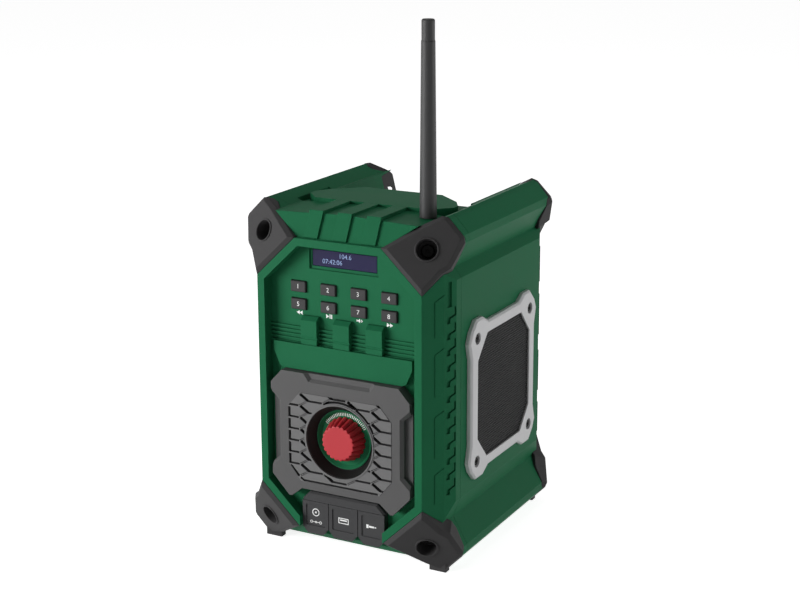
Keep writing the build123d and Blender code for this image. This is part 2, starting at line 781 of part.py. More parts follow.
with BuildPart() as button_board:
    with BuildSketch(front_plane(board_set_back)):
        with Locations((0, board_height)):
            Rectangle(*board_size)
    extrude(amount=-board_thickness)
    with BuildSketch(front_plane(board_set_back)):
        with Locations(*button_places):
            Rectangle(*switch_size)
    extrude(amount=switch_case)
    with BuildSketch(front_plane(board_set_back)):
        with Locations(*button_places):
            Circle(plunger_radius)
    extrude(amount=switch_height - button_travel)
save(button_board, "button_board")

# ---------------------------------------------------------------- dark bezel with honeycomb
bezel_outline = [
    (0.0, 147.5), (50.5, 147.5), (60.0, 137.0), (60.0, 128.0), (54.0, 122.5), (54.0, 77.5),
    (60.0, 72.0), (60.0, 62.5), (45.5, 47.0), (43.0, 47.0), (34.0, 54.5), (0.0, 54.5),
]
bezel_flange = [
    (0.0, 147.5), (50.5, 147.5), (60.0, 137.0), (60.0, 62.5), (45.5, 47.0), (43.0, 47.0),
    (34.0, 54.5), (0.0, 54.5),
]
bezel_step = 5.5                  # the flange is set back this far
bezel_bevel = 2.4
grip_outline = [(-35.0, 150.0), (-29.0, 141.2), (29.0, 141.2), (35.0, 150.0)]
grip_depth = 1.5
honeycomb_wall = 3.0
honeycomb_back = octagon(34.0, 47.0, 134.5, 122.0, 72.5, 59.5)
ring_radius = 29.3
ring_width = 1.1
ring_rise = 0.4
cell_pitch = 12.8
row_pitch = 9.14
cell_half = 3.75
cell_slant = 5.3
slot_width = 1.7
cell_shift = 6.0                  # height of the cells over the middle of the dial
cell_gap = 2.0                    # smallest web between a slot and the ring
cell_limit_x = 44.0
cell_limit_z = (66.0, 131.5)
cell_limit_corner = 66.0
edge_slot = (-44.5, 7.0)          # place and length of the upright slots at the left
edge_slot_rows = range(-3, 3)
low_slot = (62.3, 66.0)           # height and length of the long slot below the cells
corner_slot = [(-43.4, 73.6), (-35.5, 65.2)]


def honeycomb_slots():
    """Hooked slots of an elongated honeycomb round the dial, as lists of sketch points."""
    slots = []
    for column in range(-3, 4):
        shift = cell_shift if column % 2 else cell_shift - row_pitch / 2
        for row in range(-5, 5):
            x = column * cell_pitch
            z = dial_height + shift + row * row_pitch
            bend = (x - cell_half, z)
            points = [(bend[0] - cell_slant, z + row_pitch / 2), bend, (x + cell_half - 1.0, z)]
            if column == -3:
                points = points[1:]
            clear = [
                (px, pz) for px, pz in points
                if px ** 2 + (pz - dial_height) ** 2 > (ring_radius + cell_gap) ** 2
                and abs(px) < cell_limit_x and cell_limit_z[0] < pz < cell_limit_z[1]
                and abs(px) + abs(pz - dial_height) < cell_limit_corner
            ]
            if len(clear) == len(points) or (len(clear) == 2 and clear[0] != points[0]):
                slots.append(clear)
    return slots


with BuildPart() as front_bezel:
    with BuildSketch(front_plane(panel_back)):
        with BuildLine():
            Polyline(*mirrored_outline(bezel_flange), close=True)
        make_face()
    extrude(amount=panel_back - bezel_step)
    with BuildSketch(front_plane(bezel_step)):
        with BuildLine():
            Polyline(*mirrored_outline(bezel_outline), close=True)
        make_face()
    extrude(amount=bezel_step)
    chamfer(faces().sort_by(Axis.Y)[0].edges(), length=bezel_bevel)
    with BuildSketch(front_plane(0)):
        with BuildLine():
            Polyline(*grip_outline, close=True)
        make_face()
    extrude(amount=-grip_depth, mode=Mode.SUBTRACT)
    with BuildSketch(front_plane(panel_back)):
        with BuildLine():
            Polyline(*honeycomb_back, close=True)
        make_face()
    extrude(amount=panel_back - honeycomb_wall, mode=Mode.SUBTRACT)
    with BuildSketch(front_plane(honeycomb_wall)):
        with Locations((0, dial_height)):
            Circle(ring_radius + ring_width / 2)
    extrude(amount=honeycomb_wall + ring_rise)
    with BuildSketch(front_plane(-ring_rise)):
        with Locations((0, dial_height)):
            Circle(ring_radius - ring_width / 2)
    extrude(amount=-panel_back - ring_rise, mode=Mode.SUBTRACT)
    with BuildSketch(front_plane(0)):
        for slot in honeycomb_slots():
            with BuildLine():
                Polyline(*slot)
            trace(line_width=slot_width)
        for row in edge_slot_rows:
            slot_place = dial_height + cell_shift + (row - 0.5) * row_pitch
            with Locations((edge_slot[0], slot_place)):
                Rectangle(slot_width, edge_slot[1])
        with BuildLine():
            Polyline(*corner_slot)
        trace(line_width=slot_width)
        with Locations((0, low_slot[0])):
            Rectangle(low_slot[1], slot_width)
    extrude(amount=-panel_back, mode=Mode.SUBTRACT)
save(front_bezel, "front_bezel")

surround_wall = 1.2
surround_plate = 2.0
funnel_front = 0.3
funnel_wall = 2.4                 # along the dial axis
funnel_foot = 0.8

with BuildPart() as dial_surround:
    with BuildSketch(front_plane(panel_back)):
        with BuildLine():
            Polyline(*honeycomb_back, close=True)
        make_face()
        offset(amount=-fit, kind=Kind.INTERSECTION)
        with Locations((0, dial_height)):
            Circle(dish_radius + fit, mode=Mode.SUBTRACT)
    extrude(amount=surround_plate)
    rim = ring_radius - ring_width / 2 - fit
    with BuildSketch(Plane.YZ):
        with BuildLine():
            Polyline(
                (depth(funnel_front), dial_height + rim),
                (depth(panel_back - funnel_foot), dial_height + dish_radius + fit),
                (depth(panel_back), dial_height + dish_radius + fit),
                (depth(panel_back), dial_height + dish_radius + fit + surround_wall),
                (depth(funnel_front + funnel_wall), dial_height + rim), close=True,
            )
        make_face()
    revolve(axis=Axis((0, 0, dial_height), (0, 1, 0)))
save(dial_surround, "dial_surround")

# ---------------------------------------------------------------- volume knob and encoder
knob_face = -2.5                  # stands just proud of the front frame
knob_radius = 12.6
knob_lobes = 20
lobe_radius = 1.55
lobe_inset = 0.4
knob_bevel = 1.0
knob_taper = 35
knob_gap = 0.4
knob_recess_radius = 8.0
shaft_radius = 3.0
journal_radius = 2.6
shaft_front = 0.6
shaft_flat = 1.2
bushing_front = 6.2
recess_front = 5.4
shaft_step = 0.4                  # the flatted end of the shaft reaches into the recess
shaft_foot = 2.0                  # the journal ends this far behind the panel
bottom_gap = 0.3
encoder_size = (12.5, 13.5)
encoder_thickness = 6.5
nut_size = (5.5, 2.2)             # corner radius and height of the panel nut

with BuildPart() as volume_knob:
    with BuildSketch(front_plane(panel_back - knob_gap)):
        with Locations((0, dial_height)):
            Circle(knob_radius)
            with PolarLocations(knob_radius - lobe_inset, knob_lobes):
                Circle(lobe_radius)
    extrude(amount=panel_back - knob_gap - knob_face - knob_bevel)
    with BuildSketch(front_plane(knob_face + knob_bevel)):
        with Locations((0, dial_height)):
            Circle(knob_radius)
    extrude(amount=knob_bevel, taper=knob_taper)
    with BuildSketch(front_plane(panel_back)):
        with Locations((0, dial_height)):
            Circle(knob_recess_radius)
    extrude(amount=panel_back - recess_front, mode=Mode.SUBTRACT)
    with BuildSketch(front_plane(panel_back)):
        with Locations((0, dial_height)):
            Circle(shaft_radius)
            with Locations((0, shaft_radius)):
                Rectangle(2 * shaft_radius, 2 * shaft_flat, mode=Mode.SUBTRACT)
    extrude(amount=panel_back - shaft_front, mode=Mode.SUBTRACT)
save(volume_knob, "volume_knob")

with BuildPart() as encoder_shaft:
    with BuildSketch(front_plane(shaft_front)):
        with Locations((0, dial_height)):
            Circle(shaft_radius)
            with Locations((0, shaft_radius)):
                Rectangle(2 * shaft_radius, 2 * shaft_flat, mode=Mode.SUBTRACT)
    extrude(amount=-(recess_front - shaft_front + shaft_step))
    with BuildSketch(front_plane(recess_front + shaft_step)):
        with Locations((0, dial_height)):
            Circle(journal_radius)
    extrude(amount=-(panel_back + panel_wall + shaft_foot - recess_front - shaft_step))
save(encoder_shaft, "encoder_shaft")

with BuildPart() as encoder_body:
    with BuildSketch(front_plane(panel_back + panel_wall)):
        with Locations((0, dial_height)):
            Rectangle(*encoder_size)
    extrude(amount=-encoder_thickness)
    with BuildSketch(front_plane(panel_back + panel_wall)):
        with Locations((0, dial_height)):
            Circle(bushing_radius)
    extrude(amount=panel_back + panel_wall - bushing_front)
    with BuildSketch(front_plane(bushing_front)):
        with Locations((0, dial_height)):
            Circle(journal_radius + turn_fit)
    journal_depth = panel_back + panel_wall + shaft_foot + bottom_gap - bushing_front
    extrude(amount=-journal_depth, mode=Mode.SUBTRACT)
save(encoder_body, "encoder_body")

with BuildPart() as encoder_nut:
    with BuildSketch(front_plane(panel_back)):
        with Locations((0, dial_height)):
            RegularPolygon(nut_size[0], 6)
            Circle(bushing_radius, mode=Mode.SUBTRACT)
    extrude(amount=nut_size[1])
save(encoder_nut, "encoder_nut")

# ---------------------------------------------------------------- sockets and their covers
cover_front = 4.0
cover_thickness = 2.6
cover_gap = 0.3                   # behind and above the covers
seal_front = cover_front + cover_thickness + cover_gap
hinge_height = 43.8
seal_half_width = port_half_width - fit
seal_low = 22.0
seal_bevel = 1.5
seal_top = mirrored_outline([
    (0.0, port_top - fit), (port_top_half, port_top - fit),
    (seal_half_width, port_shoulder - fit / 2), (seal_half_width, hinge_height),
    (0.0, hinge_height),
])
flap_split = 12.9                 # the slits between the three covers
slit = 0.6
flap_low = 21.0
flap_tip = 16.8
flap_slants = (4.5, 5.0, 1.5)     # corners of the covers: left, right inner and right outer
label_height = 32.0               # shallow label field of each cover
label_size = (6.0, 17.0)          # narrower than the cover by, height
label_corner = 0.8
label_depth = 0.7
port_board_set_back = 24.0
port_board_size = (58.0, 17.0)
window_height = 15.0
windows = ((dc_place, 18.5), (0.0, 21.0), (aux_place, 18.5))

with BuildPart() as port_seal:
    with BuildSketch(front_plane(panel_back)):
        with BuildLine():
            Polyline(*[(x, z if z > hinge_height else seal_low) for x, z in seal_top], close=True)
        make_face()
        for place, width in windows:
            with Locations((place, jack_height)):
                Rectangle(width, window_height, mode=Mode.SUBTRACT)
    extrude(amount=panel_back - seal_front)
    with BuildSketch(front_plane(seal_front)):
        with BuildLine():
            Polyline(*seal_top, close=True)
        make_face()
    extrude(amount=seal_front - cover_front)
    front_edges = faces().sort_by(Axis.Y)[0].edges()
    upper_edges = front_edges.filter_by(lambda edge: edge.center().Z > hinge_height + fit)
    chamfer(upper_edges, length=seal_bevel)
save(port_seal, "port_seal")

flaps = {
    "dc_cover": (-seal_half_width, -flap_split - slit / 2),
    "usb_cover": (-flap_split + slit / 2, flap_split - slit / 2),
    "aux_cover": (flap_split + slit / 2, seal_half_width),
}
flap_top = hinge_height - cover_gap

for node, (left, right) in flaps.items():
    middle = (left + right) / 2
    with BuildPart() as flap:
        with BuildSketch(front_plane(cover_front)):
            with BuildLine():
                Polyline((left, flap_top), (left, flap_low + 1), (left + flap_slants[0], flap_tip),
                         (right - flap_slants[1], flap_tip), (right - flap_slants[2], flap_low),
                         (right, flap_low + 1), (right, flap_top), close=True)
            make_face()
        extrude(amount=-cover_thickness)
        with BuildSketch(front_plane(cover_front)):
            with Locations((middle, label_height)):
                RectangleRounded(right - left - label_size[0], label_size[1], label_corner)
        extrude(amount=-label_depth, mode=Mode.SUBTRACT)
    save(flap, node)

dc_bore_radius = 3.2
dc_pin_radius = 1.05
jack_base = 4.0                   # closed rear ends of the sockets
pin_set_back = 1.0
usb_wall = 0.6
usb_tongue = (11.5, 1.8)
usb_tongue_rise = 1.5
usb_base = 2.0
aux_bore_radius = 1.8
aux_base = 1.0

with BuildPart() as dc_jack:
    with BuildSketch(front_plane(panel_back)):
        with Locations((dc_place, jack_height)):
            Circle(dc_radius)
            Circle(dc_bore_radius, mode=Mode.SUBTRACT)
    extrude(amount=-(port_board_set_back - panel_back))
    with BuildSketch(front_plane(port_board_set_back)):
        with Locations((dc_place, jack_height)):
            Circle(dc_radius)
    extrude(amount=jack_base)
    with BuildSketch(front_plane(panel_back + pin_set_back)):
        with Locations((dc_place, jack_height)):
            Circle(dc_pin_radius)
    extrude(amount=-(port_board_set_back - panel_back - pin_set_back))
save(dc_jack, "dc_jack")

with BuildPart() as usb_socket:
    with BuildSketch(front_plane(panel_back)):
        with Locations((0, jack_height)):
            Rectangle(*usb_size)
            Rectangle(usb_size[0] - 2 * usb_wall, usb_size[1] - 2 * usb_wall, mode=Mode.SUBTRACT)
    extrude(amount=-(port_board_set_back - panel_back - usb_base))
    with BuildSketch(front_plane(port_board_set_back)):
        with Locations((0, jack_height)):
            Rectangle(*usb_size)
    extrude(amount=usb_base)
    with BuildSketch(front_plane(panel_back + pin_set_back)):
        with Locations((0, jack_height + usb_tongue_rise)):
            Rectangle(*usb_tongue)
    extrude(amount=-(port_board_set_back - panel_back - usb_base))
save(usb_socket, "usb_socket")

with BuildPart() as aux_jack:
    with BuildSketch(front_plane(panel_back)):
        with Locations((aux_place, jack_height)):
            Circle(aux_radius)
            Circle(aux_bore_radius, mode=Mode.SUBTRACT)
    extrude(amount=-(port_board_set_back - panel_back - aux_base))
    with BuildSketch(front_plane(port_board_set_back)):
        with Locations((aux_place, jack_height)):
            Circle(aux_radius)
    extrude(amount=aux_base)
save(aux_jack, "aux_jack")

with BuildPart() as port_board:
    with BuildSketch(front_plane(port_board_set_back)):
        with Locations((0, jack_height)):
            Rectangle(*port_board_size)
    extrude(amount=-board_thickness)
save(port_board, "port_board")

# ---------------------------------------------------------------- side speakers
frame_thickness = 4.5
frame_bevel = 1.6
speaker_outline = [
    (28.0, 58.2), (37.5, 63.4), (49.0, 63.4), (57.5, 55.0), (61.2, 47.0), (57.6, 34.0),
]
opening_outline = [(31.0, 49.5), (47.5, 31.0)]
grille_set_back = 1.6
grille_thickness = 1.4
grille_lip = 1.5
ear_hole_radius = 4.5
ear_hole_depth = 3.0
frame_head_radius = 3.2
frame_head_height = 2.0
frame_screw_length = 7.0
frame_drive = (1.3, 1.2)          # radius and depth of the hexagon socket
driver_radius = 39.0
slit_width = 1.8                  # coarse slits stand for the fine perforation
slit_pitch = 3.8
slit_length = 33.0
slit_web = 3.0                    # metal between two slits, and round the field
slit_columns = 3
slit_rows = 13


def four_corners(points, grow=0.0):
    """Closed outline from the points of its upper right corner, listed clockwise."""
    right_top = [(y + grow, z + grow) for y, z in points]
    right_low = [(y, -z) for y, z in reversed(right_top)]
    left_low = [(-y, -z) for y, z in right_top]
    left_top = [(-y, z) for y, z in reversed(right_top)]
    return right_top + right_low + left_low + left_top


# Driver and diaphragm, as (distance from the back of the side wall, radius) points.
inner_speaker_face = side_face - shell_wall
basket_wall = 2.0
gap_radius = 14.0                 # the air gap of the magnet
magnet_radius = 24.0
basket_depth = 23.0
magnet_depth = 34.0
driver_profile = [
    (0.0, driver_radius - 5.0), (0.0, driver_radius), (basket_wall, driver_radius),
    (basket_wall, driver_radius - 3.5), (basket_depth - 3.0, magnet_radius - 2.0),
    (basket_depth, magnet_radius - 2.0), (basket_depth, magnet_radius),
    (magnet_depth, magnet_radius), (magnet_depth, 0.0), (basket_depth, 0.0),
    (basket_depth, gap_radius), (basket_depth - 4.0, magnet_radius - 4.0),
    (basket_wall + 0.5, driver_radius - 6.0),
]
cone_radius = driver_radius - 6.5
cap_radius = 11.0
cone_profile = [
    (0.3, cone_radius), (-1.0, cone_radius - 1.5), (0.3, cone_radius - 3.0), (14.0, cap_radius),
    (10.5, 8.0), (8.8, 4.0), (8.4, 0.0), (basket_depth - slide_fit, 0.0),
    (basket_depth - slide_fit, cap_radius - 0.5), (15.5, cap_radius + 1.0),
    (1.6, cone_radius - 2.5), (1.6, cone_radius),
]
speaker_axis = Axis((0, 0, speaker_height), (1, 0, 0))


def turned(profile, side):
    """Sketch of a speaker profile above the axis, on one side of the radio."""
    with BuildSketch(Plane.XZ) as outline:
        with BuildLine():
            Polyline(*[(side * (inner_speaker_face - x), speaker_height + r) for x, r in profile],
                     close=True)
        make_face()
    return outline.sketch


def speaker_plane(side):
    """Plane of the side face at the middle of a speaker, facing outwards."""
    return Plane(origin=(side * side_face, 0, speaker_height), x_dir=(0, side, 0),
                 z_dir=(side, 0, 0))


for side_name, side in (("left", -1), ("right", 1)):
    face_plane = speaker_plane(side)

    with BuildPart() as speaker_frame:
        with BuildSketch(face_plane):
            with BuildLine():
                Polyline(*four_corners(speaker_outline), close=True)
            make_face()
        extrude(amount=frame_thickness)
        front_edges = faces().sort_by(Axis(face_plane.origin, face_plane.z_dir))[-1].edges()
        chamfer(front_edges, length=frame_bevel)
        with BuildSketch(face_plane.offset(frame_thickness)):
            with BuildLine():
                Polyline(*four_corners(opening_outline), close=True)
            make_face()
        extrude(amount=-frame_thickness, mode=Mode.SUBTRACT)
        with BuildSketch(face_plane):
            with BuildLine():
                Polyline(*four_corners(opening_outline, grille_lip), close=True)
            make_face()
        extrude(amount=frame_thickness - grille_set_back, mode=Mode.SUBTRACT)
        with BuildSketch(face_plane.offset(frame_thickness)):
            with GridLocations(*frame_hole_spacing, 2, 2):
                Circle(ear_hole_radius)
        extrude(amount=-ear_hole_depth, mode=Mode.SUBTRACT)
        with BuildSketch(face_plane):
            with GridLocations(*frame_hole_spacing, 2, 2):
                Circle(frame_screw_radius + screw_fit)
        extrude(amount=frame_thickness, mode=Mode.SUBTRACT)
    save(speaker_frame, f"speaker_frame_{side_name}")

    with BuildPart() as grille:
        with BuildSketch(face_plane.offset(frame_thickness - grille_set_back)):
            with BuildLine():
                Polyline(*four_corners(opening_outline, grille_lip - fit), close=True)
            make_face()
        extrude(amount=-(frame_thickness - grille_set_back))
        with BuildSketch(face_plane):
            with BuildLine():
                Polyline(*four_corners(opening_outline, -1.0), close=True)
            make_face()
        extrude(amount=frame_thickness - grille_set_back - grille_thickness, mode=Mode.SUBTRACT)
        with BuildSketch(face_plane.offset(frame_thickness - grille_set_back)):
            for shift, rows in ((0.0, slit_rows), (slit_length / 2, slit_rows - 1)):
                with Locations((shift, 0)):
                    with GridLocations(slit_length + slit_web, 2 * slit_pitch, slit_columns, rows):
                        Rectangle(slit_length, slit_width)
            with BuildLine():
                Polyline(*four_corners(opening_outline, -slit_web), close=True)
            make_face(mode=Mode.INTERSECT)
        extrude(amount=-grille_thickness, mode=Mode.SUBTRACT)
    save(grille, f"speaker_grille_{side_name}")

    with BuildPart() as driver:
        revolve(turned(driver_profile, side), axis=speaker_axis)
    save(driver, f"speaker_driver_{side_name}")

    with BuildPart() as diaphragm:
        revolve(turned(cone_profile, side), axis=speaker_axis)
    save(diaphragm, f"speaker_cone_{side_name}")

with BuildPart() as speaker_screws:
    for side in (1, -1):
        head_plane = speaker_plane(side).offset(frame_thickness - ear_hole_depth)
        with BuildSketch(head_plane):
            with GridLocations(*frame_hole_spacing, 2, 2):
                Circle(frame_head_radius)
        extrude(amount=frame_head_height)
        with BuildSketch(head_plane):
            with GridLocations(*frame_hole_spacing, 2, 2):
                Circle(frame_screw_radius)
        extrude(amount=-frame_screw_length)
        with BuildSketch(head_plane.offset(frame_head_height)):
            with GridLocations(*frame_hole_spacing, 2, 2):
                RegularPolygon(frame_drive[0], 6)
        extrude(amount=-frame_drive[1], mode=Mode.SUBTRACT)
save(speaker_screws, "speaker_screws")

# ---------------------------------------------------------------- antenna
base_radius = 6.45
antenna_height = 145.0
antenna_base = deck_height - deck_fall * (antenna_place[0] - base_radius) / deck_edge + slide_fit
nut_height = 3.0
neck_radius = 5.2
tip_length = 15.5
tip_radius = 4.9
stud_height = 9.0
stud_gap = 1.0                    # free bore over the end of the stud
tip_bevel = 0.8

with BuildPart() as antenna_stud:
    with BuildSketch(Plane.XY.offset(nut_top)):
        with Locations(antenna_place):
            RegularPolygon(nut_radius, 6)
    extrude(amount=-nut_height)
    with BuildSketch(Plane.XY.offset(nut_top)):
        with Locations(antenna_place):
            Circle(stud_radius)
    extrude(amount=antenna_base + stud_height - nut_top)
save(antenna_stud, "antenna_stud")

mast_top = antenna_base + antenna_height - tip_length
with BuildPart() as antenna_mast:
    with BuildSketch(Plane.XY.offset(antenna_base)):
        with Locations(antenna_place):
            Circle(base_radius)
    with BuildSketch(Plane.XY.offset(mast_top)):
        with Locations(antenna_place):
            Circle(neck_radius)
    loft()
    with BuildSketch(Plane.XY.offset(antenna_base)):
        with Locations(antenna_place):
            Circle(stud_radius + turn_fit)
    extrude(amount=stud_height + stud_gap, mode=Mode.SUBTRACT)
save(antenna_mast, "antenna_mast")

with BuildPart() as antenna_tip:
    with BuildSketch(Plane.XY.offset(mast_top)):
        with Locations(antenna_place):
            Circle(tip_radius)
    extrude(amount=tip_length)
    chamfer(faces().sort_by(Axis.Z)[-1].edges(), length=tip_bevel)
save(antenna_tip, "antenna_tip")

# ---------------------------------------------------------------- battery dock and main board
dock_plate = 4.0
rail_depth = 9.0
rail_gap = 52.0                   # between the two guide rails
rail_width = 5.0
rail_lip = 3.0
lip_thickness = 2.5
blade_size = (0.8, 7.0, 22.0)
blade_places = [-18.0, -9.0, 0.0, 9.0, 18.0]
terminal_height = 14.0
rail_middle = depth(bay_front + dock_plate + rail_depth / 2)
lip_middle = depth(bay_front + dock_plate + rail_depth - lip_thickness / 2)

blade_low = 4.0                   # the contacts begin this far over the floor of the bay


def rail_pair(height):
    """The two lipped guide rails as a sketch."""
    with BuildSketch(Plane.XY.offset(height)) as outline:
        for side in (1, -1):
            with Locations((side * (rail_gap + rail_width) / 2, rail_middle)):
                Rectangle(rail_width, rail_depth)
            with Locations((side * (rail_gap - rail_lip) / 2, lip_middle)):
                Rectangle(rail_lip, lip_thickness)
    return outline.sketch


def blade_row(height):
    """The contact blades as a sketch."""
    with BuildSketch(Plane.XY.offset(height)) as outline:
        for place in blade_places:
            with Locations((place, rail_middle)):
                Rectangle(blade_size[0], blade_size[1])
    return outline.sketch


with BuildPart() as battery_dock:
    with BuildSketch(front_plane(bay_front)):
        with Locations((0, dock_height)):
            Rectangle(*dock_size)
    extrude(amount=-dock_plate)
    extrude(rail_pair(bay_floor + dock_lift), amount=dock_size[1])
    with BuildSketch(Plane.XY.offset(bay_floor + dock_lift)):
        with Locations((0, rail_middle)):
            Rectangle(rail_gap, rail_depth)
    extrude(amount=terminal_height)
    extrude(blade_row(bay_floor + blade_low), amount=terminal_height, mode=Mode.SUBTRACT)
save(battery_dock, "battery_dock")

with BuildPart() as battery_contacts:
    extrude(blade_row(bay_floor + blade_low), amount=blade_size[2])
save(battery_contacts, "battery_contacts")

chip_pitch = (30.0, 24.0)
chip_size = (16.0, 12.0)
chip_height = 6.0

with BuildPart() as main_board:
    with BuildSketch(front_plane(main_board_set_back)):
        with Locations((0, main_board_height)):
            Rectangle(*main_board_size)
    extrude(amount=-board_thickness)
    with BuildSketch(front_plane(main_board_set_back)):
        with Locations((0, main_board_height)):
            with GridLocations(*chip_pitch, 3, 2):
                Rectangle(*chip_size)
    extrude(amount=chip_height)
save(main_board, "main_board")
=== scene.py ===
# %% [markdown]
# # A jobsite radio, finished in Blender
#
# The radio's construction comes ready from a CAD program: each piece has its real size
# and place, in metres, and the pieces that move hang on named bodies. Our work is the
# surface. We light a small studio, soften the edges that a mould leaves soft, add what is
# too fine for the CAD model, and give every piece a material built from nodes.

# %% Load the frame
import json
import math

import bpy
from mathutils import Matrix, Vector


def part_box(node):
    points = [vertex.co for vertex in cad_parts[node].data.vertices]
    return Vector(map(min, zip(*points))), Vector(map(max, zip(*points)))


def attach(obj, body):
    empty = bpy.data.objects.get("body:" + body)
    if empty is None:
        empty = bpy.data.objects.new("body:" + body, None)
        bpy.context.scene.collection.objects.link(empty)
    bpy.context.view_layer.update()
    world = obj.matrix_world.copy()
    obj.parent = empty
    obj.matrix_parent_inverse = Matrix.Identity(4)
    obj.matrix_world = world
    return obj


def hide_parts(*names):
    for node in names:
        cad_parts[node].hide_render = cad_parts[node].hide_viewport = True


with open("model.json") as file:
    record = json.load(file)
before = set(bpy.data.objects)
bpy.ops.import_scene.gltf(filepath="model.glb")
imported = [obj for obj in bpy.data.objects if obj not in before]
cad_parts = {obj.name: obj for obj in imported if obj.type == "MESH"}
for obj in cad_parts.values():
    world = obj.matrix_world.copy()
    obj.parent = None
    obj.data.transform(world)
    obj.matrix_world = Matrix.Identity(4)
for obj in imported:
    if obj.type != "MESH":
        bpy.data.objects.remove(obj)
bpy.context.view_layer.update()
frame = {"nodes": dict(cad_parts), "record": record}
nodes = frame["nodes"]

# %% [markdown]
# ## Sizes that the whole lesson uses
#
# Blender counts in metres here, but a maker thinks in millimetres. So the sizes of the radio
# are written in millimetres, and MM turns them into metres where a point is placed. The
# front frame lies in one upright plane, and most depths are easiest to say as a set-back
# behind that plane. The origin is on the ground under the middle of the radio, +Z is up and
# the front looks along -Y.

# %% Sizes and small helpers
MM = 0.001
HALF_DEPTH = 104.0
PANEL_BACK = 9.7
DIAL_HEIGHT = 97.2
MERGE_DISTANCE = 0.001
body_of = {node: body for body, members in frame["record"]["behaviour"]["bodies"].items()
           for node in members}


def depth(set_back):
    """Y, in metres, of a plane that lies set_back behind the front frame."""
    return (set_back - HALF_DEPTH) * MM


def set_back_of(y):
    """Set-back behind the front frame of a plane at y metres."""
    return y / MM + HALF_DEPTH


def select_only(obj):
    """Make obj the one selected, active object."""
    bpy.ops.object.select_all(action="DESELECT")
    obj.hide_set(False)
    obj.select_set(True)
    bpy.context.view_layer.objects.active = obj


def finish_piece(obj, body, material, replaced=()):
    """Give a finished piece its material, its body and the node it stands for."""
    obj.data.materials.clear()
    obj.data.materials.append(material)
    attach(obj, body)
    if replaced:
        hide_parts(*replaced)
    print(obj.name, "faces:", len(obj.data.polygons))


print("bodies:", len(set(body_of.values())))

# %% [markdown]
# ## The camera
#
# A product picture is taken from a little above with a longish lens, so that the upright
# edges stay almost parallel. The camera stands about 1.3 metres away, to the right of the
# radio, and looks slightly down. A small shift of the lens frames the radio's foot, which
# saves tilting the camera further. The frame and the focal length are in pixels.

# %% Camera
FRAME_WIDTH = 800
FOCAL_PIXELS = 1654.8
SENSOR_WIDTH = 36.0
LENS_SHIFT = -0.05
CAMERA_PLACE = Vector((597.5, -1119.9, 532.0)) * MM
CAMERA_AZIMUTH, CAMERA_ELEVATION, CAMERA_ROLL = 28.21, 13.97, 0.24

camera_data = bpy.data.cameras.new("studio_camera")
camera_data.sensor_width = SENSOR_WIDTH
camera_data.lens = FOCAL_PIXELS / FRAME_WIDTH * SENSOR_WIDTH
camera_data.shift_y = LENS_SHIFT
camera = bpy.data.objects.new("studio_camera", camera_data)
bpy.context.scene.collection.objects.link(camera)
bpy.context.scene.camera = camera
azimuth, elevation = math.radians(CAMERA_AZIMUTH), math.radians(CAMERA_ELEVATION)
looking = Vector((-math.sin(azimuth) * math.cos(elevation),
                  math.cos(azimuth) * math.cos(elevation), -math.sin(elevation)))
turn = looking.to_track_quat("-Z", "Y").to_matrix().to_4x4()
roll = Matrix.Rotation(math.radians(-CAMERA_ROLL), 4, "Z")
camera.matrix_world = Matrix.Translation(CAMERA_PLACE) @ turn @ roll
print("lens:", round(camera_data.lens, 1), "mm")

# %% [markdown]
# ## The studio
#
# The floor is one large plane of matt paper. To the camera, and to every reflection, it adds
# a little light of its own, so that it shows as white while it still takes the shadow. The
# world works the same way: it is plain white where it is seen, and much weaker where it
# lights the radio, so that the soft boxes can shape the faces. Overhead the world is darker,
# like the ceiling of a studio, which keeps the colours of the upper faces deep. The studio
# is given in metres.

# %% Helpers for node trees
def node_material(name):
    """New node material; gives the material, its tree and its main shader."""
    material = bpy.data.materials.new(name)
    material.use_nodes = True
    tree = material.node_tree
    return material, tree, tree.nodes["Principled BSDF"]


def wire(tree, source, output, target, socket):
    """Join an output of one node to an input of another."""
    tree.links.new(source.outputs[output], target.inputs[socket])


def seen_rays(tree):
    """Node that is 1 for camera, glossy and transmission rays, and 0 for the light itself."""
    path = tree.nodes.new("ShaderNodeLightPath")
    direct = tree.nodes.new("ShaderNodeMath")
    direct.operation = "MAXIMUM"
    wire(tree, path, "Is Camera Ray", direct, 0)
    wire(tree, path, "Is Glossy Ray", direct, 1)
    both = tree.nodes.new("ShaderNodeMath")
    both.operation = "MAXIMUM"
    wire(tree, direct, 0, both, 0)
    wire(tree, path, "Is Transmission Ray", both, 1)
    return both


# %% Floor
bpy.context.scene.view_settings.view_transform = "Standard"
FLOOR_SIZE, FLOOR_DROP = 30.0, 0.0002
FLOOR_GLOW = 0.86
bpy.ops.object.select_all(action="DESELECT")
bpy.ops.mesh.primitive_plane_add(size=FLOOR_SIZE, location=(0, 0, -FLOOR_DROP))
floor = bpy.context.object
floor.name = "floor"

floor_material, tree, shader = node_material("floor_paper")
shader.inputs["Base Color"].default_value = (0.80, 0.80, 0.80, 1)
shader.inputs["Roughness"].default_value = 0.9
shader.inputs["Specular IOR Level"].default_value = 0.0
shader.inputs["Emission Color"].default_value = (1, 1, 1, 1)
glow = tree.nodes.new("ShaderNodeMapRange")
glow.inputs["To Max"].default_value = FLOOR_GLOW
wire(tree, seen_rays(tree), 0, glow, "Value")
wire(tree, glow, 0, shader, "Emission Strength")
floor.data.materials.append(floor_material)
print("floor:", FLOOR_SIZE, "m wide")

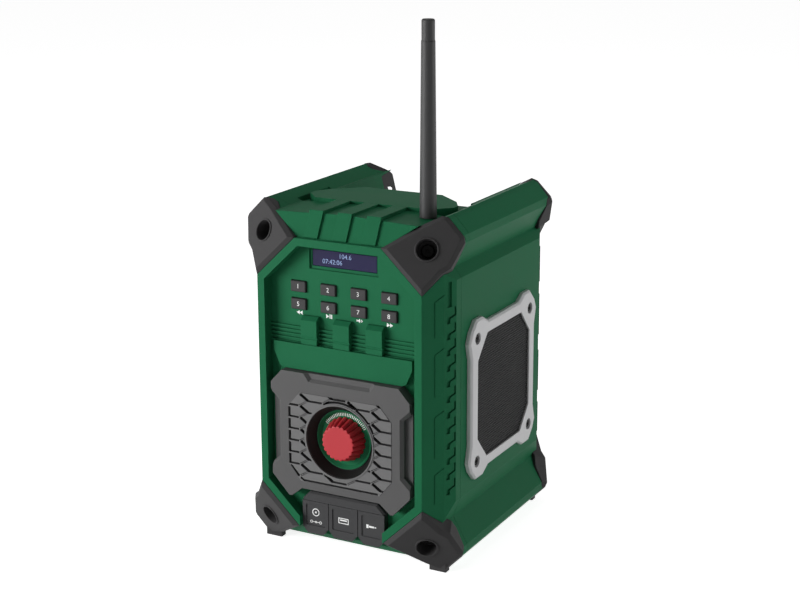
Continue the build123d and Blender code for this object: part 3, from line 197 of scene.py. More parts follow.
# %% World
WORLD_LIGHT = 0.48
CEILING_SHADE, CEILING_START = 0.24, 0.45
world = bpy.data.worlds.new("studio")
bpy.context.scene.world = world
world.use_nodes = True
tree = world.node_tree
background = tree.nodes["Background"]
direction = tree.nodes.new("ShaderNodeTexCoord")
height = tree.nodes.new("ShaderNodeSeparateXYZ")
wire(tree, direction, "Generated", height, 0)
ceiling = tree.nodes.new("ShaderNodeMapRange")
ceiling.inputs["From Min"].default_value = 0.0
ceiling.inputs["From Max"].default_value = CEILING_START
ceiling.inputs["To Min"].default_value = 1.0
ceiling.inputs["To Max"].default_value = CEILING_SHADE
wire(tree, height, "Z", ceiling, "Value")
path = tree.nodes.new("ShaderNodeLightPath")
shown = tree.nodes.new("ShaderNodeMath")
shown.operation = "MAXIMUM"
wire(tree, ceiling, 0, shown, 0)
wire(tree, path, "Is Camera Ray", shown, 1)
level = tree.nodes.new("ShaderNodeMapRange")
level.inputs["To Min"].default_value = WORLD_LIGHT
level.inputs["To Max"].default_value = 1.0
wire(tree, seen_rays(tree), 0, level, "Value")
strength = tree.nodes.new("ShaderNodeMath")
strength.operation = "MULTIPLY"
wire(tree, shown, 0, strength, 0)
wire(tree, level, 0, strength, 1)
wire(tree, strength, 0, background, "Strength")
background.inputs["Color"].default_value = (1, 1, 1, 1)
print("world nodes:", len(tree.nodes))


# %% Soft boxes
def soft_box(name, place, target, size, power):
    """Square area lamp at place, turned to target."""
    lamp = bpy.data.lights.new(name, "AREA")
    lamp.shape = "SQUARE"
    lamp.size = size
    lamp.energy = power
    box = bpy.data.objects.new(name, lamp)
    bpy.context.scene.collection.objects.link(box)
    box.location = place
    box.rotation_euler = (Vector(target) - Vector(place)).to_track_quat("-Z", "Y").to_euler()


RADIO_MIDDLE = (0, 0, 0.15)
soft_box("front_box", (-1.50, -1.50, 0.38), RADIO_MIDDLE, size=1.3, power=55)
soft_box("rear_box", (1.90, 0.90, 0.25), RADIO_MIDDLE, size=1.3, power=17)
soft_box("top_box", (-0.2, 0.1, 2.2), RADIO_MIDDLE, size=1.0, power=6)

# %% [markdown]
# ## Moulded plastic and rubber
#
# A moulded surface is never one flat colour. The mould is spark eroded, which leaves a fine
# grain, and handling leaves the high places a little smoother than the hollows. One helper
# builds that: a fine noise for the grain goes to the bump, a slow noise moves the colour and
# the roughness a little, and the settings that are the same all over stay on the shader. A
# Bevel node under the bump rounds the sharp edges in the shading. Metal has a helper of its
# own, with a noise that is stretched into fine scratches.

# %% Moulded surfaces
GRAIN_HEIGHT = 0.05
HANDLING_SCALE = 28.0
HANDLING_ROUGHNESS = 0.05


def moulded(name, color, roughness, grain=0.35, grain_size=0.9, change=0.08, specular=0.4,
            edge=0.35):
    """Moulded surface: base colour, roughness, bump strength, grain and edge size."""
    material, tree, shader = node_material(name)
    place = tree.nodes.new("ShaderNodeTexCoord")
    fine = tree.nodes.new("ShaderNodeTexNoise")
    fine.inputs["Scale"].default_value = 1 / (grain_size * MM)
    fine.inputs["Detail"].default_value = 3.0
    slow = tree.nodes.new("ShaderNodeTexNoise")
    slow.inputs["Scale"].default_value = HANDLING_SCALE
    slow.inputs["Detail"].default_value = 4.0
    wire(tree, place, "Object", fine, "Vector")
    wire(tree, place, "Object", slow, "Vector")
    mix = tree.nodes.new("ShaderNodeMix")
    mix.data_type = "RGBA"
    mix.inputs["A"].default_value = (*[c * (1 - change) for c in color], 1)
    mix.inputs["B"].default_value = (*[c * (1 + change) for c in color], 1)
    wire(tree, slow, "Fac", mix, "Factor")
    wire(tree, mix, "Result", shader, "Base Color")
    rough = tree.nodes.new("ShaderNodeMapRange")
    rough.inputs["To Min"].default_value = roughness - HANDLING_ROUGHNESS
    rough.inputs["To Max"].default_value = roughness + HANDLING_ROUGHNESS
    wire(tree, slow, "Fac", rough, "Value")
    wire(tree, rough, "Result", shader, "Roughness")
    bump = tree.nodes.new("ShaderNodeBump")
    bump.inputs["Strength"].default_value = grain
    bump.inputs["Distance"].default_value = GRAIN_HEIGHT * MM
    wire(tree, fine, "Fac", bump, "Height")
    rounded = tree.nodes.new("ShaderNodeBevel")
    rounded.inputs["Radius"].default_value = edge * MM
    wire(tree, rounded, "Normal", bump, "Normal")
    wire(tree, bump, "Normal", shader, "Normal")
    shader.inputs["Specular IOR Level"].default_value = specular
    return material


# %% Metal surfaces
SCRATCH_STRETCH = (40, 900, 900)
SCRATCH_SCALE, SCRATCH_ROUGHNESS = 3.0, 0.08


def metal(name, color, roughness):
    """Plain metal with fine scratches along one direction."""
    material, tree, shader = node_material(name)
    place = tree.nodes.new("ShaderNodeTexCoord")
    stretch = tree.nodes.new("ShaderNodeMapping")
    stretch.inputs["Scale"].default_value = SCRATCH_STRETCH
    fine = tree.nodes.new("ShaderNodeTexNoise")
    fine.inputs["Scale"].default_value = SCRATCH_SCALE
    rough = tree.nodes.new("ShaderNodeMapRange")
    rough.inputs["To Min"].default_value = roughness - SCRATCH_ROUGHNESS
    rough.inputs["To Max"].default_value = roughness + SCRATCH_ROUGHNESS
    wire(tree, place, "Object", stretch, "Vector")
    wire(tree, stretch, "Vector", fine, "Vector")
    wire(tree, fine, "Fac", rough, "Value")
    wire(tree, rough, "Result", shader, "Roughness")
    shader.inputs["Base Color"].default_value = (*color, 1)
    shader.inputs["Metallic"].default_value = 1.0
    return material


# %% [markdown]
# ## The finishes of this radio
#
# Each finish is one call of a helper, with a base colour in linear light and a roughness.
# The green plastic and the rubber are dull, so their gloss is low. Rubber has the coarser
# grain, and print, digits and windows are nearly smooth. The table after them says which
# finish belongs to which slot of the record.

# %% Finishes and their slots
green = moulded("green_plastic", (0.015, 0.138, 0.060), 0.50, grain=0.25, specular=0.05,
                edge=0.45)
rubber = moulded("bumper_rubber", (0.046, 0.045, 0.046), 0.62, grain=0.5, grain_size=0.7,
                 specular=0.14, edge=0.9)
cover_rubber = moulded("cover_rubber", (0.050, 0.050, 0.052), 0.65, grain=0.5, specular=0.18)
grey = moulded("grey_plastic", (0.090, 0.089, 0.090), 0.60, grain=0.5, specular=0.25)
# The plate's paler grey is painted light: the brightness that the tilted honeycomb cells catch.
plate_painted_light_grey = moulded("plate_plastic_painted_light", (0.150, 0.149, 0.150), 0.60, grain=0.5, specular=0.25,
                     edge=0.15)
black = moulded("black_plastic", (0.010, 0.010, 0.010), 0.55, specular=0.15)
key = moulded("button_plastic", (0.034, 0.033, 0.034), 0.55, specular=0.25, edge=0.3)
red = moulded("red_plastic", (0.47, 0.020, 0.030), 0.50, grain=0.2, specular=0.40, edge=0.25)
silver = moulded("silver_plastic", (0.70, 0.70, 0.71), 0.42, grain=0.2, change=0.03,
                 specular=0.5, edge=0.4)
dark_mesh = moulded("grille_metal", (0.030, 0.030, 0.031), 0.45, specular=0.2, edge=0.1)
mast = moulded("antenna_rubber", (0.040, 0.040, 0.041), 0.50, specular=0.30, edge=0.6)
board = moulded("board", (0.02, 0.10, 0.05), 0.4, change=0.15)
paper_cone = moulded("cone_paper", (0.02, 0.02, 0.022), 0.8, grain=0.6)
lcd_blue = moulded("lcd", (0.03, 0.028, 0.10), 0.3, grain=0.0)
tinted = moulded("window_plastic", (0.020, 0.018, 0.064), 0.25, grain=0.0, change=0.02,
                 specular=0.12, edge=0.2)
ink = moulded("ink_white", (0.90, 0.91, 0.90), 0.6, grain=0.1, change=0.02, edge=0.05)
pale_blue = moulded("display_digits", (0.30, 0.42, 0.70), 0.6, grain=0.0, change=0.02, edge=0.05)
steel = metal("steel", (0.55, 0.55, 0.56), 0.35)
dark_steel = metal("dark_steel", (0.012, 0.012, 0.012), 0.6)
plated = metal("plated_shell", (0.75, 0.75, 0.76), 0.2)
brass = metal("brass", (0.75, 0.55, 0.25), 0.3)
slot_materials = {
    "green_plastic": green, "bumper_rubber": rubber, "cover_rubber": cover_rubber,
    "grey_plastic": grey, "black_plastic": black, "button_plastic": key, "red_plastic": red,
    "silver_plastic": silver, "grille_metal": dark_mesh, "window_plastic": tinted,
    "lcd": lcd_blue, "board": board, "steel": steel, "dark_steel": dark_steel,
    "plated_shell": plated, "brass": brass, "cone_paper": paper_cone, "antenna_rubber": mast,
    "ink_white": ink,
}
print("materials:", len(slot_materials))

# %% [markdown]
# ## Materials for the pieces that stay as they are
#
# Screws, boards, sockets and speaker parts already have their real shape, and most of them
# are barely seen. Each takes the material of its slot in the record, so that one table
# serves them all.

# %% Dress the CAD pieces
node_slot = {row["node"]: row["material_slot"] for row in frame["record"]["subparts"]}
for node, obj in nodes.items():
    obj.data.materials.clear()
    obj.data.materials.append(slot_materials[node_slot[node]])
print("dressed:", len(nodes))

# %% [markdown]
# ## Soft edges
#
# No moulded edge is knife sharp, and it is the small rounds that catch the light and draw
# the bright lines along the edges. A CAD mesh arrives as loose triangles. We copy it, merge
# its points, dissolve the flat triangles back into whole faces and let the Bevel modifier
# round what is sharper than a set angle. The Weighted Normal modifier keeps the large faces
# flat. This suits the compact pieces: the bumpers, the speaker frames and the keys. The two
# housings have hundreds of notches that a real bevel would run into, so their edges are only
# rounded in the shading, by the Bevel node of the plastic.

# %% Soften the edges of a piece
SHARP_ANGLE, FLAT_ANGLE = 28, 0.5
BUMPER_ROUND, SPEAKER_ROUND, KEY_ROUND = 0.9, 0.5, 0.3


def softened(node, radius, segments=2):
    """Stand in for a CAD piece with a copy whose edges are rounded."""
    copy = bpy.data.objects.new(node + "_soft", nodes[node].data.copy())
    bpy.context.scene.collection.objects.link(copy)
    select_only(copy)
    bpy.ops.object.mode_set(mode="EDIT")
    bpy.ops.mesh.select_all(action="SELECT")
    bpy.ops.mesh.remove_doubles(threshold=2 * MERGE_DISTANCE * MM)
    bpy.ops.mesh.dissolve_limited(angle_limit=math.radians(FLAT_ANGLE))
    bpy.ops.object.mode_set(mode="OBJECT")
    bevel = copy.modifiers.new("round", "BEVEL")
    bevel.width = radius * MM
    bevel.segments = segments
    bevel.limit_method = "ANGLE"
    bevel.angle_limit = math.radians(SHARP_ANGLE)
    bevel.miter_outer = "MITER_ARC"
    bpy.ops.object.modifier_apply(modifier="round")
    bpy.ops.object.shade_smooth()
    flat = copy.modifiers.new("flat_faces", "WEIGHTED_NORMAL")
    flat.weight = 100
    bpy.ops.object.modifier_apply(modifier="flat_faces")
    slot = node_slot[node]
    finish_piece(copy, body_of[node], slot_materials[slot], (node,))


keys = [f"button_{name}" for name in ("source", "preset", "info", "power",
                                      "previous", "mute", "pair", "next")]
for node in [n for n in nodes if n.startswith("bumper_") and n != "bumper_screws"]:
    softened(node, BUMPER_ROUND, segments=3)
for node in ("speaker_frame_left", "speaker_frame_right"):
    softened(node, SPEAKER_ROUND)
for node in keys:
    softened(node, KEY_ROUND)

# %% [markdown]
# ## Flat outlines into solids
#
# Most of the small parts on the front are one outline pushed along one direction. The helper
# adds a circle with as many corners as the outline has, moves each corner to its place, and
# extrudes the face in edit mode. For a prism the outline is drawn in front view, X to the
# right and Z up, and its two depths are set-backs behind the front frame. A second outline
# for the front end gives it slanted sides.

# %% Helpers for solids
def merge_and_face_out(piece):
    """Merge doubled points and turn every face outwards."""
    select_only(piece)
    bpy.ops.object.mode_set(mode="EDIT")
    bpy.ops.mesh.select_all(action="SELECT")
    bpy.ops.mesh.remove_doubles(threshold=MERGE_DISTANCE * MM)
    bpy.ops.mesh.normals_make_consistent(inside=False)
    bpy.ops.object.mode_set(mode="OBJECT")


def pushed(name, corners, push):
    """Solid from the corners of a flat outline, pushed along a vector, all in metres."""
    bpy.ops.object.select_all(action="DESELECT")
    bpy.ops.mesh.primitive_circle_add(vertices=len(corners), fill_type="NGON")
    piece = bpy.context.object
    piece.name = name
    for vertex, corner in zip(piece.data.vertices, corners):
        vertex.co = corner
    bpy.ops.object.mode_set(mode="EDIT")
    bpy.ops.mesh.select_all(action="SELECT")
    bpy.ops.mesh.extrude_region_move(TRANSFORM_OT_translate={"value": push})
    bpy.ops.object.mode_set(mode="OBJECT")
    merge_and_face_out(piece)
    return piece


def prism(name, outline, back, front, front_outline=None):
    """Solid from a front-view outline at set-back back to the same, or another, at front."""
    corners = [(x * MM, depth(back), z * MM) for x, z in outline]
    piece = pushed(name, corners, (0, (front - back) * MM, 0))
    if front_outline:
        for vertex in piece.data.vertices:
            if abs(vertex.co.y - depth(front)) < MERGE_DISTANCE * MM:
                place = min(range(len(outline)), key=lambda i: abs(corners[i][0] - vertex.co.x)
                            + abs(corners[i][2] - vertex.co.z))
                vertex.co.x = front_outline[place][0] * MM
                vertex.co.z = front_outline[place][1] * MM
    return piece


def joined(pieces, name):
    """Several objects joined into one."""
    select_only(pieces[0])
    for piece in pieces:
        piece.select_set(True)
    bpy.ops.object.join()
    bpy.context.object.name = name
    return bpy.context.object


def boolean(piece, cutter, operation):
    """Apply a Boolean modifier and remove the cutter."""
    select_only(piece)
    cut = piece.modifiers.new("cut", "BOOLEAN")
    cut.object = cutter
    cut.operation = operation
    cut.solver = "EXACT"
    cut.use_self = True
    bpy.ops.object.modifier_apply(modifier="cut")
    bpy.data.objects.remove(cutter)


# %% Helpers for outlines
def mirrored(half):
    """Outline closed by its mirror image about X = 0; the ends lie on X = 0."""
    return half + [(-x, z) for x, z in reversed(half) if x]


def ring_points(radius, count):
    """Corners of a circle round the dial."""
    return [(radius * math.sin(2 * math.pi * i / count),
             DIAL_HEIGHT + radius * math.cos(2 * math.pi * i / count)) for i in range(count)]


def inset_outline(outline, distance):
    """Convex outline moved inwards by a distance, its corners still sharp."""
    moved = []
    middle = Vector((sum(p[0] for p in outline), sum(p[1] for p in outline))) / len(outline)
    for i, point in enumerate(outline):
        before, here = Vector(outline[i - 1]), Vector(point)
        after = Vector(outline[(i + 1) % len(outline)])
        sides = []
        for start, end in ((before, here), (here, after)):
            across = Vector((start.y - end.y, end.x - start.x)).normalized()
            if across.dot(middle - here) < 0:
                across = -across
            sides.append(across)
        half_way = (sides[0] + sides[1]).normalized()
        moved.append(tuple(here + half_way * (distance / half_way.dot(sides[0]))))
    return moved


def ribbon(line, widths):
    """Outline of a line whose stretches have the given widths, as front-view points."""
    points = [Vector(p) for p in line]
    across = [Vector((a.y - b.y, b.x - a.x)).normalized() * (w / 2)
              for a, b, w in zip(points, points[1:], widths)]
    steps = [across[0]]
    for one, two in zip(across, across[1:]):
        rows = Matrix((one.normalized(), two.normalized()))
        steps.append(rows.inverted() @ Vector((one.length, two.length)))
    steps.append(across[-1])
    left = [tuple(p + step) for p, step in zip(points, steps)]
    right = [tuple(p - step) for p, step in zip(points, steps)]
    return left + right[::-1]


def arc_line(radius, start, length, step=3.0):
    """Points along an arc round the dial, in degrees from the right, anticlockwise."""
    count = max(2, round(length / step) + 1)
    angles = [math.radians(start + length * i / (count - 1)) for i in range(count)]
    return [(radius * math.cos(a), DIAL_HEIGHT + radius * math.sin(a)) for a in angles]


# %% [markdown]
# ## The slots of the honeycomb
#
# The dark bezel round the dial is one moulding, and the plate inside its frame is cut by
# hooked slots, so that what is left looks like stretched honeycomb cells. A raised ring
# closes this field round the dial, and three curved slots follow the ring. Each slot could
# be drawn by itself, but they repeat: one function gives the line of a cell, loops set the
# lines out in rows, and every line is widened into a thin solid. We keep what lies inside
# the field and outside the ring, so that one Boolean can cut them all out later. Each cutter
# ends at a depth of its own, because a Boolean fails easily where faces coincide.

# %% Slots of the honeycomb
CELL_PITCH, ROW_PITCH = 20.7, 9.45
CELL_HALF, CELL_SLANT, CELL_END, CELL_MIDDLE = 6.7, 7.0, 1.2, 0.6
LOWEST_ROW, ROW_COUNT = 64.7, 8
SLANT_SLOT, LEVEL_SLOT = 2.5, 1.6
EDGE_SLOT, EDGE_BRIDGE, EDGE_ROWS = -43.8, 2.0, range(1, 6)
CORNER_SLOT = [(-43.3, 72.1), (-36.3, 64.8)]
FOOT_SLOT = [(-34.5, 63.4), (-31.4, 61.6), (33.0, 61.6)]
CUT_BACK, CUT_FRONT = 12.0, -2.0


def row_height(column, row):
    """Height of a cell's lower edge; every second column stands half a row higher."""
    return LOWEST_ROW + row * ROW_PITCH + (ROW_PITCH / 2 if column % 2 else 0)


def cutter(name, outline, more_back=0, more_front=0):
    """Prism that goes right through the bezel."""
    return prism(name, outline, CUT_BACK + more_back, CUT_FRONT - more_front)


slot_shapes = []
for column in range(-2, 3):
    for row in range(ROW_COUNT):
        x = CELL_MIDDLE + column * CELL_PITCH - CELL_HALF
        z = row_height(column, row)
        hook = [(x - CELL_SLANT, z + ROW_PITCH / 2), (x, z), (x + 2 * CELL_HALF - CELL_END, z)]
        slot_shapes.append(ribbon(hook, (SLANT_SLOT, LEVEL_SLOT)))
for row in EDGE_ROWS:
    z = row_height(0, row)
    slot_shapes.append(ribbon([(EDGE_SLOT, z + ROW_PITCH - EDGE_BRIDGE), (EDGE_SLOT, z)],
                              [SLANT_SLOT]))
slot_shapes.append(ribbon(CORNER_SLOT, [SLANT_SLOT]))
slot_shapes.append(ribbon(FOOT_SLOT, [LEVEL_SLOT] * 2))
slots = joined([cutter("slot", shape) for shape in slot_shapes], "slots")
print("slots:", len(slot_shapes))

# %% Field and ring
FIELD = [(34.3, 131.8), (44.7, 120.0), (44.7, 73.4), (34.3, 60.6),
         (-34.3, 60.6), (-44.7, 73.4), (-44.7, 120.0), (-34.3, 131.8)]
FIELD_OVERRUN = 0.15
RING_RADIUS, RING_WIDTH, RING_RISE, RING_GAP, RING_SIDES = 29.3, 1.1, 0.9, 0.9, 96
CLEAR_RADIUS = RING_RADIUS + RING_WIDTH / 2 + RING_GAP
ARC_SLOT = 1.8
RING_SLOTS = [(22.0, 13.0), (39.0, 23.0), (67.0, 47.0)]

boolean(slots, cutter("field", inset_outline(FIELD, -FIELD_OVERRUN), -1, -1), "INTERSECT")
boolean(slots, cutter("disc", ring_points(CLEAR_RADIUS, RING_SIDES), 1, 1), "DIFFERENCE")
arcs = []
for start, length in RING_SLOTS:
    line = arc_line(CLEAR_RADIUS + ARC_SLOT / 2, start, length)
    arcs.append(cutter("arc", ribbon(line, [ARC_SLOT] * (len(line) - 1))))
print("slot faces:", len(slots.data.polygons), "curved slots:", len(arcs))

# %% [markdown]
# ## The webs between the cells
#
# Where a slot ends, a shallow slanted groove carries its line on to the next column, and a
# thin web stands in the groove as high as the plate. The webs could be joined to the bezel
# by a Boolean, but hair-thin strips easily break its faces. So they stay a piece of their
# own, and no seam shows, because they sink a little into the groove's floor.

# %% Grooves and webs
PLATE_RISE = 0.35
WEB_WIDTH, WEB_SINK, WEB_MARGIN = 0.5, 0.2, 0.6
GROOVE_WIDTH, GROOVE_DEPTH, GROOVE_TOP = 1.6, 0.9, 1.5
WEB_START, WEB_END = (0.9, 0.3), (0.2, 0.9)
web_lines = []
for column in range(-2, 2):
    for row in range(ROW_COUNT):
        x = CELL_MIDDLE + column * CELL_PITCH + CELL_HALF - CELL_END
        z = row_height(column, row)
        web_lines.append([(x + WEB_START[0], z + WEB_START[1]),
                          (x + CELL_SLANT - WEB_END[0], z + ROW_PITCH / 2 - WEB_END[1])])
groove_floor = GROOVE_DEPTH - PLATE_RISE
webs = joined([prism("web", ribbon(line, [WEB_WIDTH]), groove_floor + WEB_SINK, -PLATE_RISE)
               for line in web_lines], "bezel_webs")
grooves = joined([prism("groove", ribbon(line, [GROOVE_WIDTH]), groove_floor, -GROOVE_TOP)
                  for line in web_lines], "grooves")
for strips in (webs, grooves):
    boolean(strips, cutter("field", inset_outline(FIELD, WEB_MARGIN), -1, 1), "INTERSECT")
    boolean(strips, cutter("disc", ring_points(CLEAR_RADIUS, RING_SIDES), 1, 2), "DIFFERENCE")
# The webs take the same paler grey as the plate, painted light.
finish_piece(webs, body_of["front_bezel"], plate_painted_light_grey)

# %% [markdown]
# ## The bezel
#
# The bezel is a thick frame on a flange, with a bevel beside each hand notch and a recess at
# the top where a finger grips it. From behind it is hollow, and the plate with the slots is
# what is left of its front wall, raised a little over the frame. We build it from prisms
# with Booleans: first the frame and what is cut into it, then the plate and the ring, and
# last the slots. The front faces of the raised plate get a second material, a paler grey
# that is painted light: it stands for the light that the tilted cells of the plate catch.

# %% Frame of the bezel
BEZEL_FLANGE = mirrored([(0.0, 147.5), (50.5, 147.5), (60.0, 137.0), (60.0, 62.5),
                         (45.5, 47.0), (43.0, 47.0), (34.0, 54.5), (0.0, 54.5)])
BEZEL_OUTLINE = mirrored([(0.0, 147.5), (50.5, 147.5), (60.0, 137.0), (60.0, 128.0),
                          (54.0, 122.5), (54.0, 77.5), (60.0, 72.0), (60.0, 62.5),
                          (45.5, 47.0), (43.0, 47.0), (34.0, 54.5), (0.0, 54.5)])
BEZEL_STEP, BEZEL_BEVEL = 5.5, 2.4
OVERLAP = 0.1
NOTCH_INSIDE, NOTCH_LOW, NOTCH_HIGH = 53, 71, 129
GRIP = [(-34.0, 152.0), (-26.5, 141.0), (26.5, 141.0), (34.0, 152.0)]
GRIP_DEPTH, GRIP_OVERRUN = 2.4, 0.6


def beside_notch(point):
    """Whether a point of the frame is on the front edge of a hand notch."""
    return (point.y < depth(OVERLAP) and abs(point.x) > NOTCH_INSIDE * MM
            and NOTCH_LOW * MM < point.z < NOTCH_HIGH * MM)


bezel = prism("bezel", BEZEL_OUTLINE, BEZEL_STEP + OVERLAP, 0.0)
select_only(bezel)
bpy.ops.object.mode_set(mode="EDIT")
bpy.ops.mesh.select_all(action="DESELECT")
bpy.ops.object.mode_set(mode="OBJECT")
for edge in bezel.data.edges:
    edge.select = all(beside_notch(bezel.data.vertices[i].co) for i in edge.vertices)
bpy.ops.object.mode_set(mode="EDIT")
bpy.ops.mesh.select_mode(type="EDGE")
bpy.ops.mesh.bevel(offset=BEZEL_BEVEL * MM, offset_type="OFFSET", segments=1, affect="EDGES")
bpy.ops.object.mode_set(mode="OBJECT")
boolean(bezel, prism("grip", inset_outline(GRIP, GRIP_DEPTH), GRIP_DEPTH, -GRIP_OVERRUN,
                     inset_outline(GRIP, -GRIP_OVERRUN)), "DIFFERENCE")
boolean(bezel, prism("flange", BEZEL_FLANGE, PANEL_BACK, BEZEL_STEP), "UNION")
print("frame faces:", len(bezel.data.polygons))

# %% Plate, ring and slots
PLATE_WALL, POCKET_OVERRUN = 3.0, 1
POCKET = [(34.0, 134.5), (47.0, 122.0), (47.0, 72.5), (34.0, 59.5),
          (-34.0, 59.5), (-47.0, 72.5), (-47.0, 122.0), (-34.0, 134.5)]
FACING_FRONT = -0.99
boolean(bezel, prism("pocket", POCKET, PANEL_BACK + POCKET_OVERRUN, PLATE_WALL), "DIFFERENCE")
boolean(bezel, prism("plate", FIELD, PLATE_WALL - OVERLAP, -PLATE_RISE), "UNION")
boolean(bezel, prism("ring", ring_points(RING_RADIUS + RING_WIDTH / 2, RING_SIDES),
                     PLATE_WALL + OVERLAP, -RING_RISE), "UNION")
boolean(bezel, cutter("hole", ring_points(RING_RADIUS - RING_WIDTH / 2, RING_SIDES), 2, 1),
        "DIFFERENCE")
for strips in (grooves, *arcs, slots):
    boolean(bezel, strips, "DIFFERENCE")
merge_and_face_out(bezel)
finish_piece(bezel, body_of["front_bezel"], grey, ("front_bezel",))
# The plate's front faces get the paler grey, painted light for its tilted cells.
bezel.data.materials.append(plate_painted_light_grey)
for polygon in bezel.data.polygons:
    if polygon.normal.y < FACING_FRONT and polygon.center.y < depth(-PLATE_RISE / 2):
        polygon.material_index = 1
print("honeycomb faces:", sum(p.material_index for p in bezel.data.polygons))

# %% [markdown]
# ## The volume knob
#
# The knob is a round block with a lobed grip, wider at the panel than at its face. A
# cylinder with a cut for every flute would need a Boolean with many small faces. Instead we
# add a circle, move its points in and out by a formula for the lobes, and extrude it in
# steps, each one scaled towards the face. The last small steps round the edge of the face.

# %% Knob
KNOB_RADIUS, KNOB_FLARE, KNOB_LOBES, LOBE_RISE, LOBE_FULLNESS = 12.5, 1.27, 21, 1.35, 0.7
KNOB_FACE, KNOB_FOOT = -2.5, 9.3
KNOB_STEPS = [(KNOB_FACE + 0.6, 1.0), (KNOB_FACE + 0.15, 0.985), (KNOB_FACE, 0.96)]
POINTS_PER_LOBE = 10
SMOOTH_ANGLE = 35


def lobed_outline(scale):
    """The knob's outline at one level, as front-view points."""
    count = KNOB_LOBES * POINTS_PER_LOBE
    outline = []
    for i in range(count):
        wave = abs(math.cos(math.pi * KNOB_LOBES * (i / count)))
        radius = (KNOB_RADIUS + LOBE_RISE * (wave ** LOBE_FULLNESS)) * scale
        angle = 2 * math.pi * (i / count)
        outline.append((radius * math.sin(angle), DIAL_HEIGHT + radius * math.cos(angle)))
    return outline


bpy.ops.object.select_all(action="DESELECT")
bpy.ops.mesh.primitive_circle_add(vertices=KNOB_LOBES * POINTS_PER_LOBE, fill_type="NGON")
knob = bpy.context.object
knob.name = "knob"
for vertex, (x, z) in zip(knob.data.vertices, lobed_outline(KNOB_FLARE)):
    vertex.co = (x * MM, depth(KNOB_FOOT), z * MM)
bpy.ops.object.mode_set(mode="EDIT")
bpy.ops.mesh.select_all(action="SELECT")
level, scale = KNOB_FOOT, KNOB_FLARE
for next_level, next_scale in KNOB_STEPS:
    bpy.ops.mesh.extrude_region_move(
        TRANSFORM_OT_translate={"value": (0, (next_level - level) * MM, 0)})
    bpy.ops.transform.resize(value=(next_scale / scale, 1, next_scale / scale),
                             center_override=(0, 0, DIAL_HEIGHT * MM))
    level, scale = next_level, next_scale
bpy.ops.object.mode_set(mode="OBJECT")
merge_and_face_out(knob)
bpy.ops.object.shade_smooth_by_angle(angle=math.radians(SMOOTH_ANGLE))
finish_piece(knob, "volume_knob", red, ("volume_knob",))

# %% [markdown]
# ## The three tabs over the name plate
#
# Each tab is a hook-shaped strip: a flat body, a small step, and a lip that laps over the
# plate below. Seen from the side it is one outline, so we draw that and push it along X,
# which gives the step and the lip without any cutting.

# %% Tabs
TAB_PITCH, TAB_WIDTH = 28.0, 13.8
TAB_SIDE = [(9.9, 190.8), (7.8, 190.8), (4.2, 187.9), (4.2, 175.7), (4.95, 174.3),
            (4.95, 173.6), (4.4, 173.2), (4.4, 169.4), (9.9, 169.4)]


def tab(place):
    """One tab whose middle is at X = place, from its outline of set-backs and heights."""
    corners = [((place - TAB_WIDTH / 2) * MM, depth(set_back), z * MM)
               for set_back, z in TAB_SIDE]
    return pushed("tab", corners, (TAB_WIDTH * MM, 0, 0))


tabs = joined([tab(place) for place in (-TAB_PITCH, 0, TAB_PITCH)], "panel_tabs")
finish_piece(tabs, body_of["front_housing"], green)

# %% [markdown]
# ## The perforated speaker plates
#
# The plates are thin steel with a fine pattern of holes. A picture of holes would look flat
# from the side, so we make them. We model one hexagonal cell with a hole in it and its
# neighbour shifted by half a cell, repeat the two with two Array modifiers, cut the sheet to
# the eight-sided opening with Bisect, and give it its thickness last.

# %% Sheet of holes
HOLE_PITCH, HOLE_SHARE = 2.2, 0.80
HOLE_RADIUS = HOLE_PITCH / math.sqrt(3)
HOLE_MERGE = 0.01


def perforated(columns, rows):
    """Flat sheet of hexagonal cells with holes; its first cell is centred on the origin."""
    bpy.ops.object.select_all(action="DESELECT")
    bpy.ops.mesh.primitive_circle_add(vertices=6, radius=HOLE_RADIUS * MM, fill_type="NGON")
    sheet = bpy.context.object
    bpy.ops.object.mode_set(mode="EDIT")
    bpy.ops.mesh.select_all(action="SELECT")
    bpy.ops.mesh.inset(thickness=HOLE_RADIUS * (1 - HOLE_SHARE) * MM * math.cos(math.pi / 6))
    bpy.ops.mesh.delete(type="FACE")
    bpy.ops.mesh.select_all(action="SELECT")
    bpy.ops.mesh.duplicate_move(TRANSFORM_OT_translate={
        "value": (HOLE_PITCH / 2 * MM, 1.5 * HOLE_RADIUS * MM, 0)})
    bpy.ops.object.mode_set(mode="OBJECT")
    for name, step, count in (("along", (HOLE_PITCH * MM, 0, 0), columns),
                              ("up", (0, 3 * HOLE_RADIUS * MM, 0), rows)):
        array = sheet.modifiers.new(name, "ARRAY")
        array.use_relative_offset = False
        array.use_constant_offset = True
        array.constant_offset_displace = step
        array.count = count
        bpy.ops.object.modifier_apply(modifier=name)
    bpy.ops.object.mode_set(mode="EDIT")
    bpy.ops.mesh.select_all(action="SELECT")
    bpy.ops.mesh.remove_doubles(threshold=HOLE_MERGE * MM)
    bpy.ops.object.mode_set(mode="OBJECT")
    return sheet


# %% Speaker plates
OPENING = [(31.0, 49.5), (47.5, 31.0)]
LIP, SHEET_THICKNESS, SHEET_BACK = 1.2, 0.5, 0.15


def outer_face(side, sign):
    """Outer X of a speaker's grille and the middle of its box, in metres."""
    low_corner, high_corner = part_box(f"speaker_grille_{side}")
    return high_corner.x if sign > 0 else low_corner.x, (low_corner + high_corner) / 2


